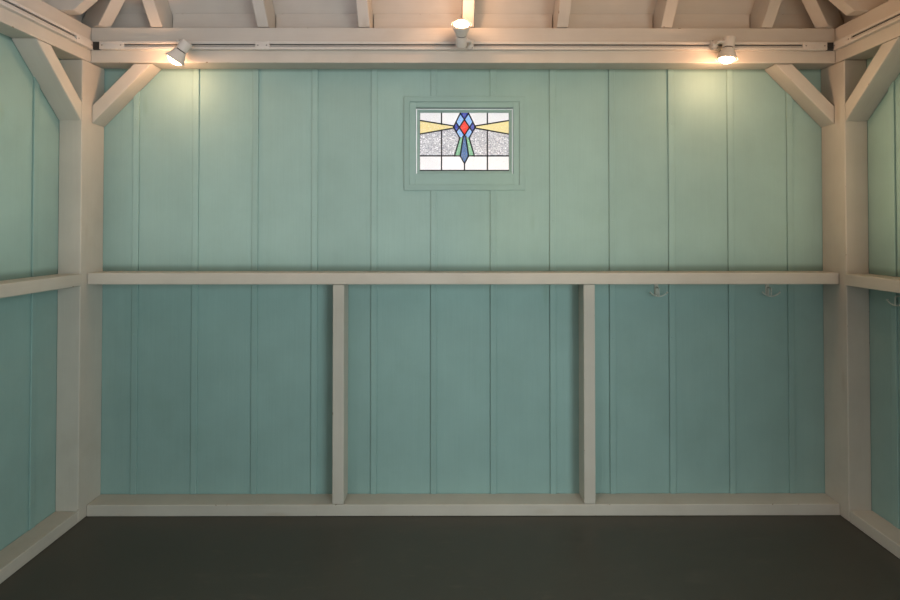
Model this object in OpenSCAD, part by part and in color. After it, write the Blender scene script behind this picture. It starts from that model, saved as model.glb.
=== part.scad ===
// Timber beach hut: one room, a post and plate frame clad in upright boards, and a hipped roof.
// The origin is on the ground under the middle of the hut. The open front faces -Y.

/* [Hut] */
// Width over the corner posts
frame_w = 3500; // [3000:10:4400]
// Depth over the corner posts
frame_d = 2320; // [2200:10:3000]
// Height from the floor to the underside of the wall plates
head_h = 1992; // [1900:2:2300]

/* [Floor] */
// Depth of the floor joists
joist_h = 100; // [75:5:150]
// Thickness of the floor joists
joist_t = 50; // [38:1:63]
// Number of bays between the joists
joist_bays = 9; // [8:1:12]
// Thickness of the floor deck
deck_t = 22; // [18:1:32]

/* [Frame] */
// Width of a corner post across the hut
post_w = 100; // [90:5:125]
// Depth of a corner post along the hut
post_d = 150; // [125:5:175]
// Thickness of a wall plate
plate_t = 100; // [75:5:100]
// Height of a wall plate
plate_h = 158; // [125:1:175]
// Height of a sill, and thickness of a shelf rail or stud
scantling_t = 52; // [44:1:63]
// Depth of a sill, stud or side brace into the room
scantling_d = 100; // [75:5:100]
// Depth of a shelf rail into the room
rail_d = 110; // [80:5:120]
// Thickness of a knee brace
brace_t = 57; // [44:1:63]
// Depth of the back and front knee braces into the room
end_brace_d = 90; // [75:5:100]
// How far a knee brace's lower edge reaches down its post
brace_drop = 270; // [230:5:320]
// How far the lower edge of a back or front brace reaches along its plate
end_brace_reach = 264; // [230:1:320]
// How far the side braces' lower edges reach along their plates, at the left and at the right
side_brace_reach = [258, 284];
// Height of the shelf rails' top over the floor
rail_top = 1065; // [900:5:1200]
// Distance of the studs under the back rail from the middle of the hut
back_stud_x = 552; // [400:2:700]
// Distance of the studs under the side rails from the middle of the hut
side_stud_y = 430; // [300:5:600]

/* [Cladding] */
// Thickness of the wall boards
board_t = 20; // [16:1:25]
// Height of the boards' lower ends over the ground
board_low = 20; // [10:5:60]
// Width of the corner boards
corner_w = 90; // [70:5:120]
// Thickness of the corner boards and of the fascia
trim_t = 20; // [16:1:25]

/* [Window] */
// Place of the window's middle across the back wall
window_x = 5; // [-100:5:100]
// Distance of the window's middle below the plates
window_drop = 342; // [300:2:420]
// Width of the sash
sash_w = 504; // [440:2:600]
// Height of the sash
sash_h = 380; // [320:2:440]
// Thickness of the sash
sash_t = 32; // [30:1:40]
// How far the sash's inner face stands into the room from the boards
sash_proud = 6; // [2:1:10]
// Width of the sash's side stiles
stile_w = 41; // [30:1:50]
// Width of the sash's top rail
sash_top_w = 38; // [30:1:50]
// Width of the sash's bottom rail
sash_low_w = 64; // [45:1:80]
// Thickness of the glass
glass_t = 4; // [3:1:6]
// How deep the glass sits in the sash's groove
groove_d = 8; // [5:1:12]
// Width of the cover strip around the sash, indoors
strip_w = 26; // [18:1:40]
// Thickness of the cover strip, indoors
strip_t = 12; // [8:1:18]
// Width of the cover boards around the sash, outdoors
outer_strip_w = 60; // [40:5:80]

/* [Roof] */
// Height from the roof boards' lower face over the walls to their lower face at the apex
roof_rise = 1540; // [1300:4:1700]
// Height of the rafters' plumb ends over the plates
heel_h = 44; // [30:1:60]
// Depth of a rafter on the back and front slopes, square to its slope
end_rafter_d = 125; // [110:5:150]
// Depth of a rafter on the side slopes, square to its slope
side_rafter_d = 146; // [110:2:160]
// Thickness of a rafter and of a hip rafter
rafter_t = 52; // [38:2:60]
// Depth of a hip rafter, square to its slope
hip_d = 140; // [125:5:160]
// Places of the rafters across the back and front slopes
rafter_x = [-1360, -888, -441, 19, 437, 898, 1344];
// Places of the rafters along the side slopes
rafter_y = [-903, -474, 0, 474, 903];
// Thickness of the boards that close the bays between the rafters, on edge over the plates
eaves_board_t = 21; // [16:1:32]
// Width over the flats of the eight-sided block that the hip rafters meet at
apex_w = 120; // [100:5:160]
// Height of the apex block
apex_h = 300; // [260:10:400]
// Thickness of the roof boards
roof_board_t = 18; // [15:1:25]
// Thickness of the shingle covering
shingle_t = 22; // [16:1:30]
// How far the roof boards reach beyond the walls at the sides
eaves_out = 55; // [40:5:90]
// How far the shingles reach beyond the roof boards
shingle_out = 20; // [10:5:30]
// How far the fascia hangs below the top of the plates
fascia_drop = 80; // [60:5:110]
// Width of each board of a hip cap, in plan
hip_cap_w = 90; // [70:5:120]
// Thickness of the hip caps
hip_cap_t = 14; // [10:1:20]
// How far the apex cap laps over the hip caps at the sides, in plan
apex_cap_lap = 25; // [15:1:40]
// Thickness of the apex cap
apex_cap_t = 12; // [8:1:16]

/* [Lighting track] */
// Height of a track's face
track_h = 35; // [30:1:40]
// Depth of a track
track_d = 20; // [18:1:25]
// Height of a track's middle over the plates' underside
track_z = 71; // [60:1:80]
// Height of the slot in a track
slot_h = 13; // [10:1:16]
// Depth of the slot in a track
slot_d = 12; // [8:1:14]
// Length of the feed at a track's end
feed_l = 106; // [80:2:120]
// How far the back track's feeds stay from the side plates
back_track_gap = 51; // [30:1:60]
// How far the side tracks' feeds stay from the back and front plates
side_track_gap = 10; // [5:1:40]
// Length of the joiner in the back track
joiner_l = 62; // [50:2:80]
// Place of the joiner's middle on the back track
joiner_x = -885; // [-1000:5:-800]
// How far feeds and joiners stand out from a track's faces
feed_proud = 1; // [0.5:0.5:2]

/* [Spotlights] */
// Places of the three spotlights' pivots on the back track
spot_x = [-1230, 27, 1096];
// Turn of each spotlight about its pivot, from pointing straight down
spot_turn = [35, 180, 8];
// Tilt of each spotlight into the room, from standing along the wall
spot_tilt = [0, 45, 0];
// Width of the adapter that clips into the track
adapter_w = 30; // [24:1:40]
// Height of the adapter
adapter_h = 41; // [37:1:48]
// Depth of the adapter
adapter_d = 16; // [12:1:20]
// Diameter of the pivot's disc
pivot_d = 26; // [22:1:30]
// Thickness of the pivot's disc
pivot_t = 7; // [5:1:8]
// Distance of a lamp body's middle line from the track's face
spot_reach = 56; // [54:1:70]
// Distance of a lamp body's middle line from the pivot's axis
spot_offset = 40; // [38:1:60]
// Diameter of the arm and of the knuckle's pin
arm_d = 13; // [10:1:16]
// Diameter of the knuckle on the lamp body
knuckle_d = 20; // [18:1:24]
// How far the knuckle stands out of the lamp body
knuckle_out = 4; // [3:1:8]
// Diameter of the lamp body
barrel_d = 48; // [44:1:52]
// Length of the lamp body
barrel_l = 45; // [36:1:50]
// Height of the dark neck between the lamp body and its bell
neck_l = 4; // [2:1:6]
// Diameter of the neck
neck_d = 38; // [30:1:42]
// Diameter of the bell's rim
bell_d = 86; // [76:1:92]
// Length of the bell
bell_l = 46; // [34:1:50]
// Thickness of the bell's sheet
bell_t = 2; // [1.5:0.5:3]
// Diameter of the bulb's face
bulb_d = 66; // [56:1:72]
// How far the bulb's face stands out of the bell's rim
bulb_proud = 18; // [3:1:24]

/* [Coat hooks] */
// Places of the hooks on the back wall
hook_x = [885, 1395];
// Distance of the side wall's hook from the back wall
hook_y = 320; // [250:5:600]
// Distance of a hook's lowest point below the rail
hook_drop = 64; // [50:2:90]
// Half the distance between a hook's two tips
hook_half_w = 38; // [25:1:45]
// Rise of a hook's tips over its lowest point
hook_rise = 17; // [12:1:22]
// Diameter of a hook's rod
hook_rod_d = 6; // [4:1:8]
// How far a hook stands out from the wall
hook_reach = 32; // [24:1:45]

/* [Fits] */
// Gap at the joint of boards that meet at a corner, at a rafter, under the roof or at the apex
joint_gap = 2; // [1:0.5:4]
// Gap at a rafter's slanting cut against a hip rafter
slant_gap = 0.3; // [0.2:0.1:1]
// Gap between faces that turn on each other
turn_gap = 0.3; // [0.2:0.1:0.5]

/* [Hidden] */
// Frame
half_w = frame_w / 2;
half_d = frame_d / 2;
floor_z = joist_h + deck_t;
plate_z = floor_z + head_h;
plate_top = plate_z + plate_h;
inner_x = half_w - post_w;
inner_y = half_d - post_d;
rail_z = floor_z + rail_top - scantling_t;
sill_top = floor_z + scantling_t;

// Roof. The slopes all rise from one level at the boards' outer faces to one apex.
wall_x = half_w + board_t;
wall_y = half_d + board_t;
hip_l = norm([wall_x, wall_y]);
hip_turn = atan2(wall_y, wall_x);
side_angle = atan(roof_rise / wall_x);
end_angle = atan(roof_rise / wall_y);
hip_angle = atan(roof_rise / hip_l);
heel_z = plate_top + heel_h;
apex_z = heel_z + roof_rise;
eaves_ratio = (wall_x + eaves_out) / wall_x;
shingle_ratio = (wall_x + eaves_out + shingle_out) / wall_x;
// A hip rafter is lowered until its upper edges lie in the slopes.
hip_lower = rafter_t / 2 * roof_rise * max(wall_x / wall_y, wall_y / wall_x) / hip_l;
shingle_base = roof_board_t;
cap_base = shingle_base + shingle_t;
apex_cap_base = cap_base + hip_cap_t;
// The hip caps end where their boards would meet over a slope's middle line.
hip_cap_ratio = (hip_cap_w + joint_gap) * hip_l / (wall_x * wall_y);
apex_cap_ratio = hip_cap_ratio + apex_cap_lap / wall_x;

// Window and lighting
glass_w = sash_w - 2 * stile_w + 2 * groove_d;
glass_h = sash_h - sash_top_w - sash_low_w + 2 * groove_d;
glass_z = (sash_low_w - sash_top_w) / 2;
track_mid_z = plate_z + track_z;
plate_face_y = half_d - plate_t;
plate_face_x = half_w - plate_t;
back_track_l = 2 * (plate_face_x - back_track_gap);
side_track_l = 2 * (plate_face_y - side_track_gap);
spot_face_y = plate_face_y - track_d;
arm_top = adapter_d + turn_gap;
bell_top = barrel_l / 2 + neck_l;
bell_rim = bell_top + bell_l;
bulb_face_r = (pow(bulb_d / 2, 2) + pow(bulb_proud, 2)) / (2 * bulb_proud);
hook_arc_r = (pow(hook_half_w, 2) + pow(hook_rise, 2)) / (2 * hook_rise);
hook_arc_angle = asin(hook_half_w / hook_arc_r);

timber = "ivory";
boards = "mediumaquamarine";
fine = 64;

// A box from its lowest corner to its highest one
module span(low, high) {
    translate(low) cube(high - low);
}

// The children as they are, and again beyond the middle plane of the hut
module both_x() {
    children();
    mirror([1, 0, 0]) children();
}

module both_y() {
    children();
    mirror([0, 1, 0]) children();
}

// A bar with an outline in the plane across the hut, and its depth along it
module along_y(low, high) {
    translate([0, high, 0]) rotate([90, 0, 0]) linear_extrude(high - low) children();
}

// A bar with an outline in the plane along the hut, and its depth across it
module along_x(low, high) {
    translate([low, 0, 0]) rotate([90, 0, 90]) linear_extrude(high - low) children();
}

module floor_rims() {
    color("tan") both_y()
        span([-half_w, half_d - joist_t, 0], [half_w, half_d, joist_h]);
}

module floor_joists() {
    pitch = (frame_w - joist_t) / joist_bays;
    color("tan") for (i = [0 : joist_bays])
        translate([-half_w + i * pitch, joist_t - half_d, 0])
            cube([joist_t, frame_d - 2 * joist_t, joist_h]);
}

module floor_deck() {
    color("dimgray") span([-half_w, -half_d, joist_h], [half_w, half_d, floor_z]);
}

// Timbers between the posts along the back wall and along both side walls
module wall_timbers(depth, low_z) {
    color(timber) translate([0, 0, low_z]) {
        span([-inner_x, half_d - depth, 0], [inner_x, half_d, scantling_t]);
        both_x() span([half_w - depth, -inner_y, 0], [half_w, inner_y, scantling_t]);
    }
}

module rail_studs() {
    color(timber) {
        both_x() span([back_stud_x - scantling_t / 2, half_d - scantling_d, sill_top],
                      [back_stud_x + scantling_t / 2, half_d, rail_z]);
        both_x() both_y() span([half_w - scantling_d, side_stud_y - scantling_t / 2, sill_top],
                               [half_w, side_stud_y + scantling_t / 2, rail_z]);
    }
}

module corner_posts() {
    color(timber) both_x() both_y()
        span([inner_x, inner_y, floor_z], [half_w, half_d, plate_z]);
}

module end_plate(end) {
    color(timber) scale([1, end, 1])
        span([-plate_face_x, plate_face_y, plate_z], [plate_face_x, half_d, plate_top]);
}

module side_plate(side) {
    color(timber) scale([side, 1, 1])
        span([plate_face_x, -half_d, plate_z], [half_w, half_d, plate_top]);
}

// Outline of a brace in the corner under a plate, which lies at the outline's origin
module brace_outline(reach) {
    upper = 1 - brace_t * norm([brace_drop, reach]) / (brace_drop * reach);
    polygon([[0, -brace_drop * upper], [0, -brace_drop], [-reach, 0], [-reach * upper, 0]]);
}

module side_braces(side, reach) {
    scale([side, 1, 1]) both_y() along_x(half_w - scantling_d, half_w)
        translate([inner_y, plate_z]) brace_outline(reach);
}

module knee_braces() {
    color(timber) {
        both_x() both_y() along_y(half_d - end_brace_d, half_d)
            translate([inner_x, plate_z]) brace_outline(end_brace_reach);
        side_braces(-1, side_brace_reach[0]);
        side_braces(1, side_brace_reach[1]);
    }
}

module wall_back() {
    color(boards) difference() {
        span([-wall_x, half_d, board_low], [wall_x, wall_y, plate_top]);
        along_y(half_d - 1, wall_y + 1) window_place() sash_outline(0);
    }
}

module side_wall(side) {
    color(boards) scale([side, 1, 1])
        span([half_w, -half_d, board_low], [wall_x, half_d, plate_top]);
}

module front_head_board() {
    color(boards) span([-wall_x, -wall_y, plate_z], [wall_x, -half_d, plate_top]);
}

module corner_boards() {
    top = plate_top - fascia_drop;
    color(timber) both_x() {
        // Over the ends of the front's posts and of the side walls' boards
        span([inner_x, -wall_y, board_low], [wall_x - joint_gap, -half_d, plate_z]);
        span([wall_x, -wall_y, board_low], [wall_x + trim_t, corner_w - wall_y, top]);
        // Around the back corners
        span([wall_x - corner_w, wall_y, board_low], [wall_x + trim_t, wall_y + trim_t, top]);
        span([wall_x, wall_y - corner_w, board_low], [wall_x + trim_t, wall_y - joint_gap, top]);
    }
}

module window_place() {
    translate([window_x, plate_z - window_drop]) children();
}

module sash_outline(margin) {
    square([sash_w + 2 * margin, sash_h + 2 * margin], center = true);
}

module sash_light() {
    translate([0, glass_z])
        square([glass_w - 2 * groove_d, glass_h - 2 * groove_d], center = true);
}

module pane() {
    middle = half_d - sash_proud + sash_t / 2;
    along_y(middle - glass_t / 2, middle + glass_t / 2) window_place()
        translate([0, glass_z]) square([glass_w, glass_h], center = true);
}

module window_sash() {
    color(boards) difference() {
        along_y(half_d - sash_proud, half_d - sash_proud + sash_t) window_place() difference() {
            sash_outline(0);
            sash_light();
        }
        pane();
    }
}

module window_glass() {
    color("lightcyan") pane();
}

module window_strip(width) {
    window_place() difference() {
        sash_outline(width);
        sash_outline(0);
    }
}

module window_strip_inside() {
    color(boards) along_y(half_d - strip_t, half_d) window_strip(strip_w);
}

module window_strip_outside() {
    color(timber) along_y(wall_y, wall_y + trim_t) window_strip(outer_strip_w);
}

// Outline between two levels over the roof boards' lower face, measured square to the slope, out
// to twice the walls' reach: x and z for a side slope, and y and z for the back or front one
module slope_outline(reach, angle, low, high) {
    low_z = low / cos(angle);
    high_z = high / cos(angle);
    end_z = heel_z - roof_rise;
    polygon([[0, apex_z + low_z], [0, apex_z + high_z],
             [reach * 2, end_z + high_z], [reach * 2, end_z + low_z]]);
}

// The part of the plan that drains to the back, up to a multiple of the walls' reach, with its
// edges along the hips drawn in by a margin
module back_plan(ratio, margin) {
    inset = margin * hip_l / wall_y;
    polygon([[0, margin * hip_l / wall_x],
             [wall_x * ratio - inset, wall_y * ratio],
             [inset - wall_x * ratio, wall_y * ratio]]);
}

module side_plan(ratio, margin) {
    inset = margin * hip_l / wall_x;
    polygon([[margin * hip_l / wall_y, 0],
             [wall_x * ratio, wall_y * ratio - inset],
             [wall_x * ratio, inset - wall_y * ratio]]);
}

// One slope of a covering: the side one towards +X, or the back one towards +Y
module side_layer(low, high, ratio) {
    intersection() {
        along_y(-wall_y * ratio, wall_y * ratio)
            slope_outline(wall_x, side_angle, low, high);
        linear_extrude(apex_z * 2) children();
    }
}

module back_layer(low, high, ratio) {
    intersection() {
        along_x(-wall_x * ratio, wall_x * ratio)
            slope_outline(wall_y, end_angle, low, high);
        linear_extrude(apex_z * 2) children();
    }
}

module covering(low, high, ratio) {
    both_y() back_layer(low, high, ratio) back_plan(ratio, joint_gap / 2);
    both_x() side_layer(low, high, ratio) side_plan(ratio, joint_gap / 2);
}

// Everything below the roof boards, out to the shingles' edge
module under_roof() {
    intersection() {
        along_y(-wall_y * 2, wall_y * 2)
            polygon([[-wall_x * 2, 0], [wall_x * 2, 0],
                     [wall_x * 2, heel_z - roof_rise], [0, apex_z], [-wall_x * 2, heel_z - roof_rise]]);
        along_x(-wall_x * 2, wall_x * 2)
            polygon([[-wall_y * 2, 0], [wall_y * 2, 0],
                     [wall_y * 2, heel_z - roof_rise], [0, apex_z], [-wall_y * 2, heel_z - roof_rise]]);
    }
}

// Outline of a rafter from the apex to its plumb end over the boards, seated on the plate
module rafter_outline(reach, angle, depth, lower) {
    rise = tan(angle);
    drop = depth / cos(angle);
    seat_end = reach - (drop + lower - heel_h) / rise;
    polygon([[0, apex_z - lower], [reach, heel_z - lower], [reach, plate_top],
             [seat_end, plate_top], [0, apex_z - lower - drop]]);
}

// A post with eight sides at the apex: four square to the hut, and four square to the hips
module apex_prism() {
    translate([0, 0, apex_z - apex_h]) linear_extrude(apex_h * 2) intersection() {
        square(apex_w, center = true);
        rotate(hip_turn) square([apex_w, apex_w * 2], center = true);
        rotate(-hip_turn) square([apex_w, apex_w * 2], center = true);
    }
}

module back_rafters() {
    color(timber) difference() {
        intersection() {
            for (x = rafter_x) along_x(x - rafter_t / 2, x + rafter_t / 2)
                rafter_outline(wall_y, end_angle, end_rafter_d, 0);
            linear_extrude(apex_z * 2) back_plan(1, rafter_t / 2 + slant_gap);
        }
        apex_prism();
    }
}

module side_slope_rafters() {
    color(timber) difference() {
        intersection() {
            for (y = rafter_y) along_y(y - rafter_t / 2, y + rafter_t / 2)
                rafter_outline(wall_x, side_angle, side_rafter_d, 0);
            linear_extrude(apex_z * 2) side_plan(1, rafter_t / 2 + slant_gap);
        }
        apex_prism();
    }
}

// A hip rafter from the apex block's side, cut off in line with both walls' boards
module hip_rafter() {
    intersection() {
        rotate([0, 0, hip_turn]) intersection() {
            along_y(-rafter_t / 2, rafter_t / 2) rafter_outline(hip_l, hip_angle, hip_d, hip_lower);
            span([apex_w / 2, -rafter_t, 0], [hip_l * 2, rafter_t, apex_z]);
        }
        span([0, 0, 0], [wall_x, wall_y, apex_z]);
    }
}

module hip_rafters() {
    color(timber) both_x() both_y() hip_rafter();
}

module apex_block() {
    color(timber) intersection() {
        apex_prism();
        under_roof();
    }
}

// Outline of an eaves board, on edge along the outer side of a plate and bevelled to the slope
module eaves_board_outline(edge, angle) {
    rise = tan(angle);
    top = heel_z + board_t * rise - joint_gap;
    polygon([[edge - eaves_board_t, plate_top], [edge, plate_top],
             [edge, top], [edge - eaves_board_t, top + eaves_board_t * rise]]);
}

module back_eaves_boards() {
    intersection() {
        along_x(-wall_x, wall_x) eaves_board_outline(half_d, end_angle);
        linear_extrude(apex_z) difference() {
            back_plan(1, rafter_t / 2 + joint_gap);
            for (x = rafter_x) translate([x, wall_y / 2])
                square([rafter_t + 2 * joint_gap, wall_y * 2], center = true);
        }
    }
}

module side_eaves_boards() {
    intersection() {
        along_y(-wall_y, wall_y) eaves_board_outline(half_w, side_angle);
        linear_extrude(apex_z) difference() {
            side_plan(1, rafter_t / 2 + joint_gap);
            for (y = rafter_y) translate([wall_x / 2, y])
                square([wall_x * 2, rafter_t + 2 * joint_gap], center = true);
        }
    }
}

module eaves_boards() {
    color(timber) {
        both_y() back_eaves_boards();
        both_x() side_eaves_boards();
    }
}

module roof_boards() {
    color(timber) covering(0, shingle_base, eaves_ratio);
}

module roof_shingles() {
    color("darkkhaki") covering(shingle_base, cap_base, shingle_ratio);
}

// Plan of one hip's cap board, on the back slope or on the side slope
module back_strip() {
    near = joint_gap / 2 * hip_l / wall_y;
    far = hip_cap_w * hip_l / wall_y;
    polygon([for (end = [[hip_cap_ratio, near], [shingle_ratio, near],
                         [shingle_ratio, far], [hip_cap_ratio, far]])
                [wall_x * end[0] - end[1], wall_y * end[0]]]);
}

module side_strip() {
    near = joint_gap / 2 * hip_l / wall_x;
    far = hip_cap_w * hip_l / wall_x;
    polygon([for (end = [[hip_cap_ratio, near], [shingle_ratio, near],
                         [shingle_ratio, far], [hip_cap_ratio, far]])
                [wall_x * end[0], wall_y * end[0] - end[1]]]);
}

module hip_caps() {
    color("darkkhaki") both_x() both_y() {
        back_layer(cap_base, apex_cap_base, shingle_ratio) back_strip();
        side_layer(cap_base, apex_cap_base, shingle_ratio) side_strip();
    }
}

module apex_cap() {
    color("darkkhaki") covering(apex_cap_base, apex_cap_base + apex_cap_t, apex_cap_ratio);
}

module eaves_fascia() {
    low = plate_top - fascia_drop;
    color(timber) intersection() {
        union() {
            both_y() span([-wall_x - trim_t, wall_y, low], [wall_x + trim_t, wall_y + trim_t, apex_z]);
            both_x() span([wall_x, joint_gap - wall_y, low], [wall_x + trim_t, wall_y - joint_gap, apex_z]);
        }
        under_roof();
    }
}

// A track along X on the wall behind y = 0, with its feeds at both ends
module track(length) {
    difference() {
        span([-length / 2, -track_d, -track_h / 2], [length / 2, 0, track_h / 2]);
        span([feed_l - length / 2, -track_d - 1, -slot_h / 2],
             [length / 2 - feed_l, slot_d - track_d, slot_h / 2]);
    }
    both_x() track_sleeve(length / 2 - feed_l / 2, feed_l);
}

// A feed or a joiner, closed over the track
module track_sleeve(middle, length) {
    half_h = track_h / 2 + feed_proud;
    span([middle - length / 2, -track_d - feed_proud, -half_h], [middle + length / 2, 0, half_h]);
}

module light_tracks() {
    color("white") {
        translate([0, plate_face_y, track_mid_z]) {
            track(back_track_l);
            track_sleeve(joiner_x, joiner_l);
        }
        both_x() translate([plate_face_x, 0, track_mid_z]) rotate([0, 0, -90]) track(side_track_l);
    }
}

// Places one spotlight's piece: from its pivot on the track's face, turned to where it points
module at_spot(i) {
    translate([spot_x[i], spot_face_y, track_mid_z]) rotate([0, spot_turn[i], 0]) children();
}

// Places a lamp body's piece: from the body's middle, tilted about its knuckle
module at_lamp(i) {
    at_spot(i) translate([spot_offset, -spot_reach, 0]) rotate([-spot_tilt[i], 0, 0]) children();
}

module track_adapters() {
    tongue = slot_h / 2 - turn_gap;
    color("white") for (x = spot_x) translate([x, spot_face_y, track_mid_z]) {
        span([-adapter_w / 2, -adapter_d, -adapter_h / 2], [adapter_w / 2, 0, adapter_h / 2]);
        span([-adapter_w / 2, 0, -tongue], [adapter_w / 2, slot_d - turn_gap, tongue]);
    }
}

// A round bar along an axis through the place, seen from it
module pin_y(diameter, low, high) {
    translate([0, high, 0]) rotate([90, 0, 0]) cylinder(d = diameter, h = high - low, $fn = fine);
}

module pin_x(diameter, low, high) {
    translate([low, 0, 0]) rotate([0, 90, 0]) cylinder(d = diameter, h = high - low, $fn = fine);
}

module spot_arm(i) {
    color("gainsboro") at_spot(i) {
        pin_y(pivot_d, -arm_top - pivot_t, -arm_top);
        pin_y(arm_d, -spot_reach, -arm_top - pivot_t);
        translate([0, -spot_reach, 0])
            pin_x(arm_d, -arm_d / 2, spot_offset - barrel_d / 2);
    }
}

module spot_head(i) {
    flare = (bell_d - barrel_d) / 2 / (bell_l - bell_t);
    rim_cut = 1;
    color("gainsboro") at_lamp(i) difference() {
        union() {
            translate([0, 0, -barrel_l / 2]) cylinder(d = barrel_d, h = barrel_l, $fn = fine);
            pin_x(knuckle_d, -barrel_d / 2 - knuckle_out, 0);
            translate([0, 0, -bell_top]) cylinder(d = neck_d, h = neck_l, $fn = fine);
            translate([0, 0, -bell_rim]) cylinder(d1 = bell_d, d2 = barrel_d, h = bell_l, $fn = fine);
        }
        // The hollow of the bell, cut a little past its rim on the same flare
        translate([0, 0, -bell_rim - rim_cut])
            cylinder(r1 = bell_d / 2 - bell_t + rim_cut * flare, r2 = barrel_d / 2 - bell_t,
                     h = bell_l - bell_t + rim_cut, $fn = fine);
        // The bore that the arm's pin turns in
        pin_x(arm_d + 2 * turn_gap, -barrel_d, -barrel_d / 2 + turn_gap);
    }
}

// The bulb: a base in the bell's crown, a reflector and a bowed face
module spot_bulb(i) {
    base_r = barrel_d / 2 - 3 * bell_t;
    lip = 2;
    color("lightyellow") at_lamp(i) translate([0, 0, -bell_rim]) {
        translate([0, 0, lip]) cylinder(r1 = bulb_d / 2, r2 = base_r, h = bell_l - bell_t - lip, $fn = fine);
        cylinder(d = bulb_d, h = lip, $fn = fine);
        intersection() {
            translate([0, 0, bulb_face_r - bulb_proud]) sphere(r = bulb_face_r, $fn = fine);
            translate([0, 0, -bulb_proud]) cylinder(d = bulb_d, h = bulb_proud, $fn = fine);
        }
    }
}

// A double hook on a wall behind y = 0, under a rail at z = 0
module coat_hook() {
    rod = hook_rod_d;
    bottom = rod / 2 - hook_drop;
    plate_w = 3 * rod;
    knee = -4 * rod;
    span([-plate_w / 2, -rod / 2, bottom], [plate_w / 2, 0, -rod]);
    translate([0, 0, knee]) pin_y(rod, -hook_reach, 0);
    translate([0, -hook_reach, bottom]) cylinder(d = rod, h = knee - bottom, $fn = fine);
    translate([0, -hook_reach, knee]) sphere(d = rod, $fn = fine);
    translate([0, -hook_reach, bottom + hook_arc_r]) rotate([90, 0, 0])
        rotate([0, 0, -90 - hook_arc_angle]) rotate_extrude(angle = 2 * hook_arc_angle, $fn = fine)
            translate([hook_arc_r, 0]) circle(d = rod, $fn = fine);
    both_x() translate([hook_half_w, -hook_reach, bottom + hook_rise]) sphere(d = 1.5 * rod, $fn = fine);
}

module coat_hooks() {
    color("whitesmoke") {
        for (x = hook_x) translate([x, half_d, rail_z]) coat_hook();
        translate([half_w, half_d - hook_y, rail_z]) rotate([0, 0, -90]) coat_hook();
    }
}

floor_rims();
floor_joists();
floor_deck();
wall_timbers(scantling_d, floor_z);  // sill_plates
corner_posts();
end_plate(1);  // plate_back
end_plate(-1);  // plate_front
side_plate(-1);  // plate_left
side_plate(1);  // plate_right
knee_braces();
wall_timbers(rail_d, rail_z);  // shelf_rails
rail_studs();
wall_back();
side_wall(-1);  // wall_left
side_wall(1);  // wall_right
front_head_board();
corner_boards();
window_sash();
window_glass();
window_strip_inside();
window_strip_outside();
back_rafters();  // rafters_back
mirror([0, 1, 0]) back_rafters();  // rafters_front
mirror([1, 0, 0]) side_slope_rafters();  // rafters_left
side_slope_rafters();  // rafters_right
hip_rafters();
apex_block();
eaves_boards();
roof_boards();
roof_shingles();
hip_caps();
apex_cap();
eaves_fascia();
light_tracks();
track_adapters();
coat_hooks();
spot_arm(0);  // spot_arm_left
spot_arm(1);  // spot_arm_middle
spot_arm(2);  // spot_arm_right
spot_head(0);  // spot_head_left
spot_head(1);  // spot_head_middle
spot_head(2);  // spot_head_right
spot_bulb(0);  // spot_bulb_left
spot_bulb(1);  // spot_bulb_middle
spot_bulb(2);  // spot_bulb_right
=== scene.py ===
import math
import random

import bmesh
import bpy
from mathutils import Euler, Matrix, Vector


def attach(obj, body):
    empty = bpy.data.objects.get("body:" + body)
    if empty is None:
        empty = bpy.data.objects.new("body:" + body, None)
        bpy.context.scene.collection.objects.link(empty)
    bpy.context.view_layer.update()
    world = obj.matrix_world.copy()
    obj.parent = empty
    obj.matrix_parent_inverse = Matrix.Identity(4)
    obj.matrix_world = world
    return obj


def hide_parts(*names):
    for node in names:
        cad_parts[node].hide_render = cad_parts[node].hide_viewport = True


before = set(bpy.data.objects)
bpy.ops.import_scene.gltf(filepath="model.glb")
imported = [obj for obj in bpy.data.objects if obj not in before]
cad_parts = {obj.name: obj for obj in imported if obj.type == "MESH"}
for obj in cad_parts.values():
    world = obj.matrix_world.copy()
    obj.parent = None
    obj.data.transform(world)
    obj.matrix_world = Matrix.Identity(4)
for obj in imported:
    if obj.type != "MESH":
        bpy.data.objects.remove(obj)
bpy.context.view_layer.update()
scene = bpy.context.scene

# The view is that of a person who stands at the hut's open front, a little left of the middle, and
# looks at the back wall. The lens is wide, and the picture is cropped low.
eye_place = Vector((-0.0525, -1.2864, 1.3855))
eye_pitch, eye_yaw = 0.0143, 0.0028
eye = bpy.data.objects.new("eye", bpy.data.cameras.new("eye"))
eye.location = eye_place
eye.rotation_euler = (math.pi / 2 + eye_pitch, 0, -eye_yaw)
eye.data.sensor_width = 36.0
eye.data.lens = 21.294
eye.data.shift_x, eye.data.shift_y = -0.0039, -0.0890
eye.data.clip_start = 0.05
scene.collection.objects.link(eye)
scene.camera = eye

# The floor frame is two rim joists with rough joists nailed in between them. It is treated
# softwood without paint, and it shows along the hut's foot and from below.


def whole(node):
    """A CAD node's solids, with every flat face in one piece again."""
    form = bmesh.new()
    form.from_mesh(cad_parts[node].data)
    bmesh.ops.remove_doubles(form, verts=form.verts, dist=1e-5)
    bmesh.ops.dissolve_limit(form, angle_limit=math.radians(1), verts=form.verts, edges=form.edges)
    return form


def ease(form, width, cuts=2):
    """Rounds the sharp edges, and marks the rounded faces, where paint wears first."""
    form.faces.layers.float.new("arris")
    sharp = [e for e in form.edges if e.is_manifold and e.calc_face_angle(0) > math.radians(20)]
    made = bmesh.ops.bevel(form, geom=sharp, offset=width, segments=cuts, profile=0.5,
                           affect="EDGES", clamp_overlap=False)
    arris = form.faces.layers.float["arris"]
    for face in made["faces"]:
        face[arris] = 1.0
    return form


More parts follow.
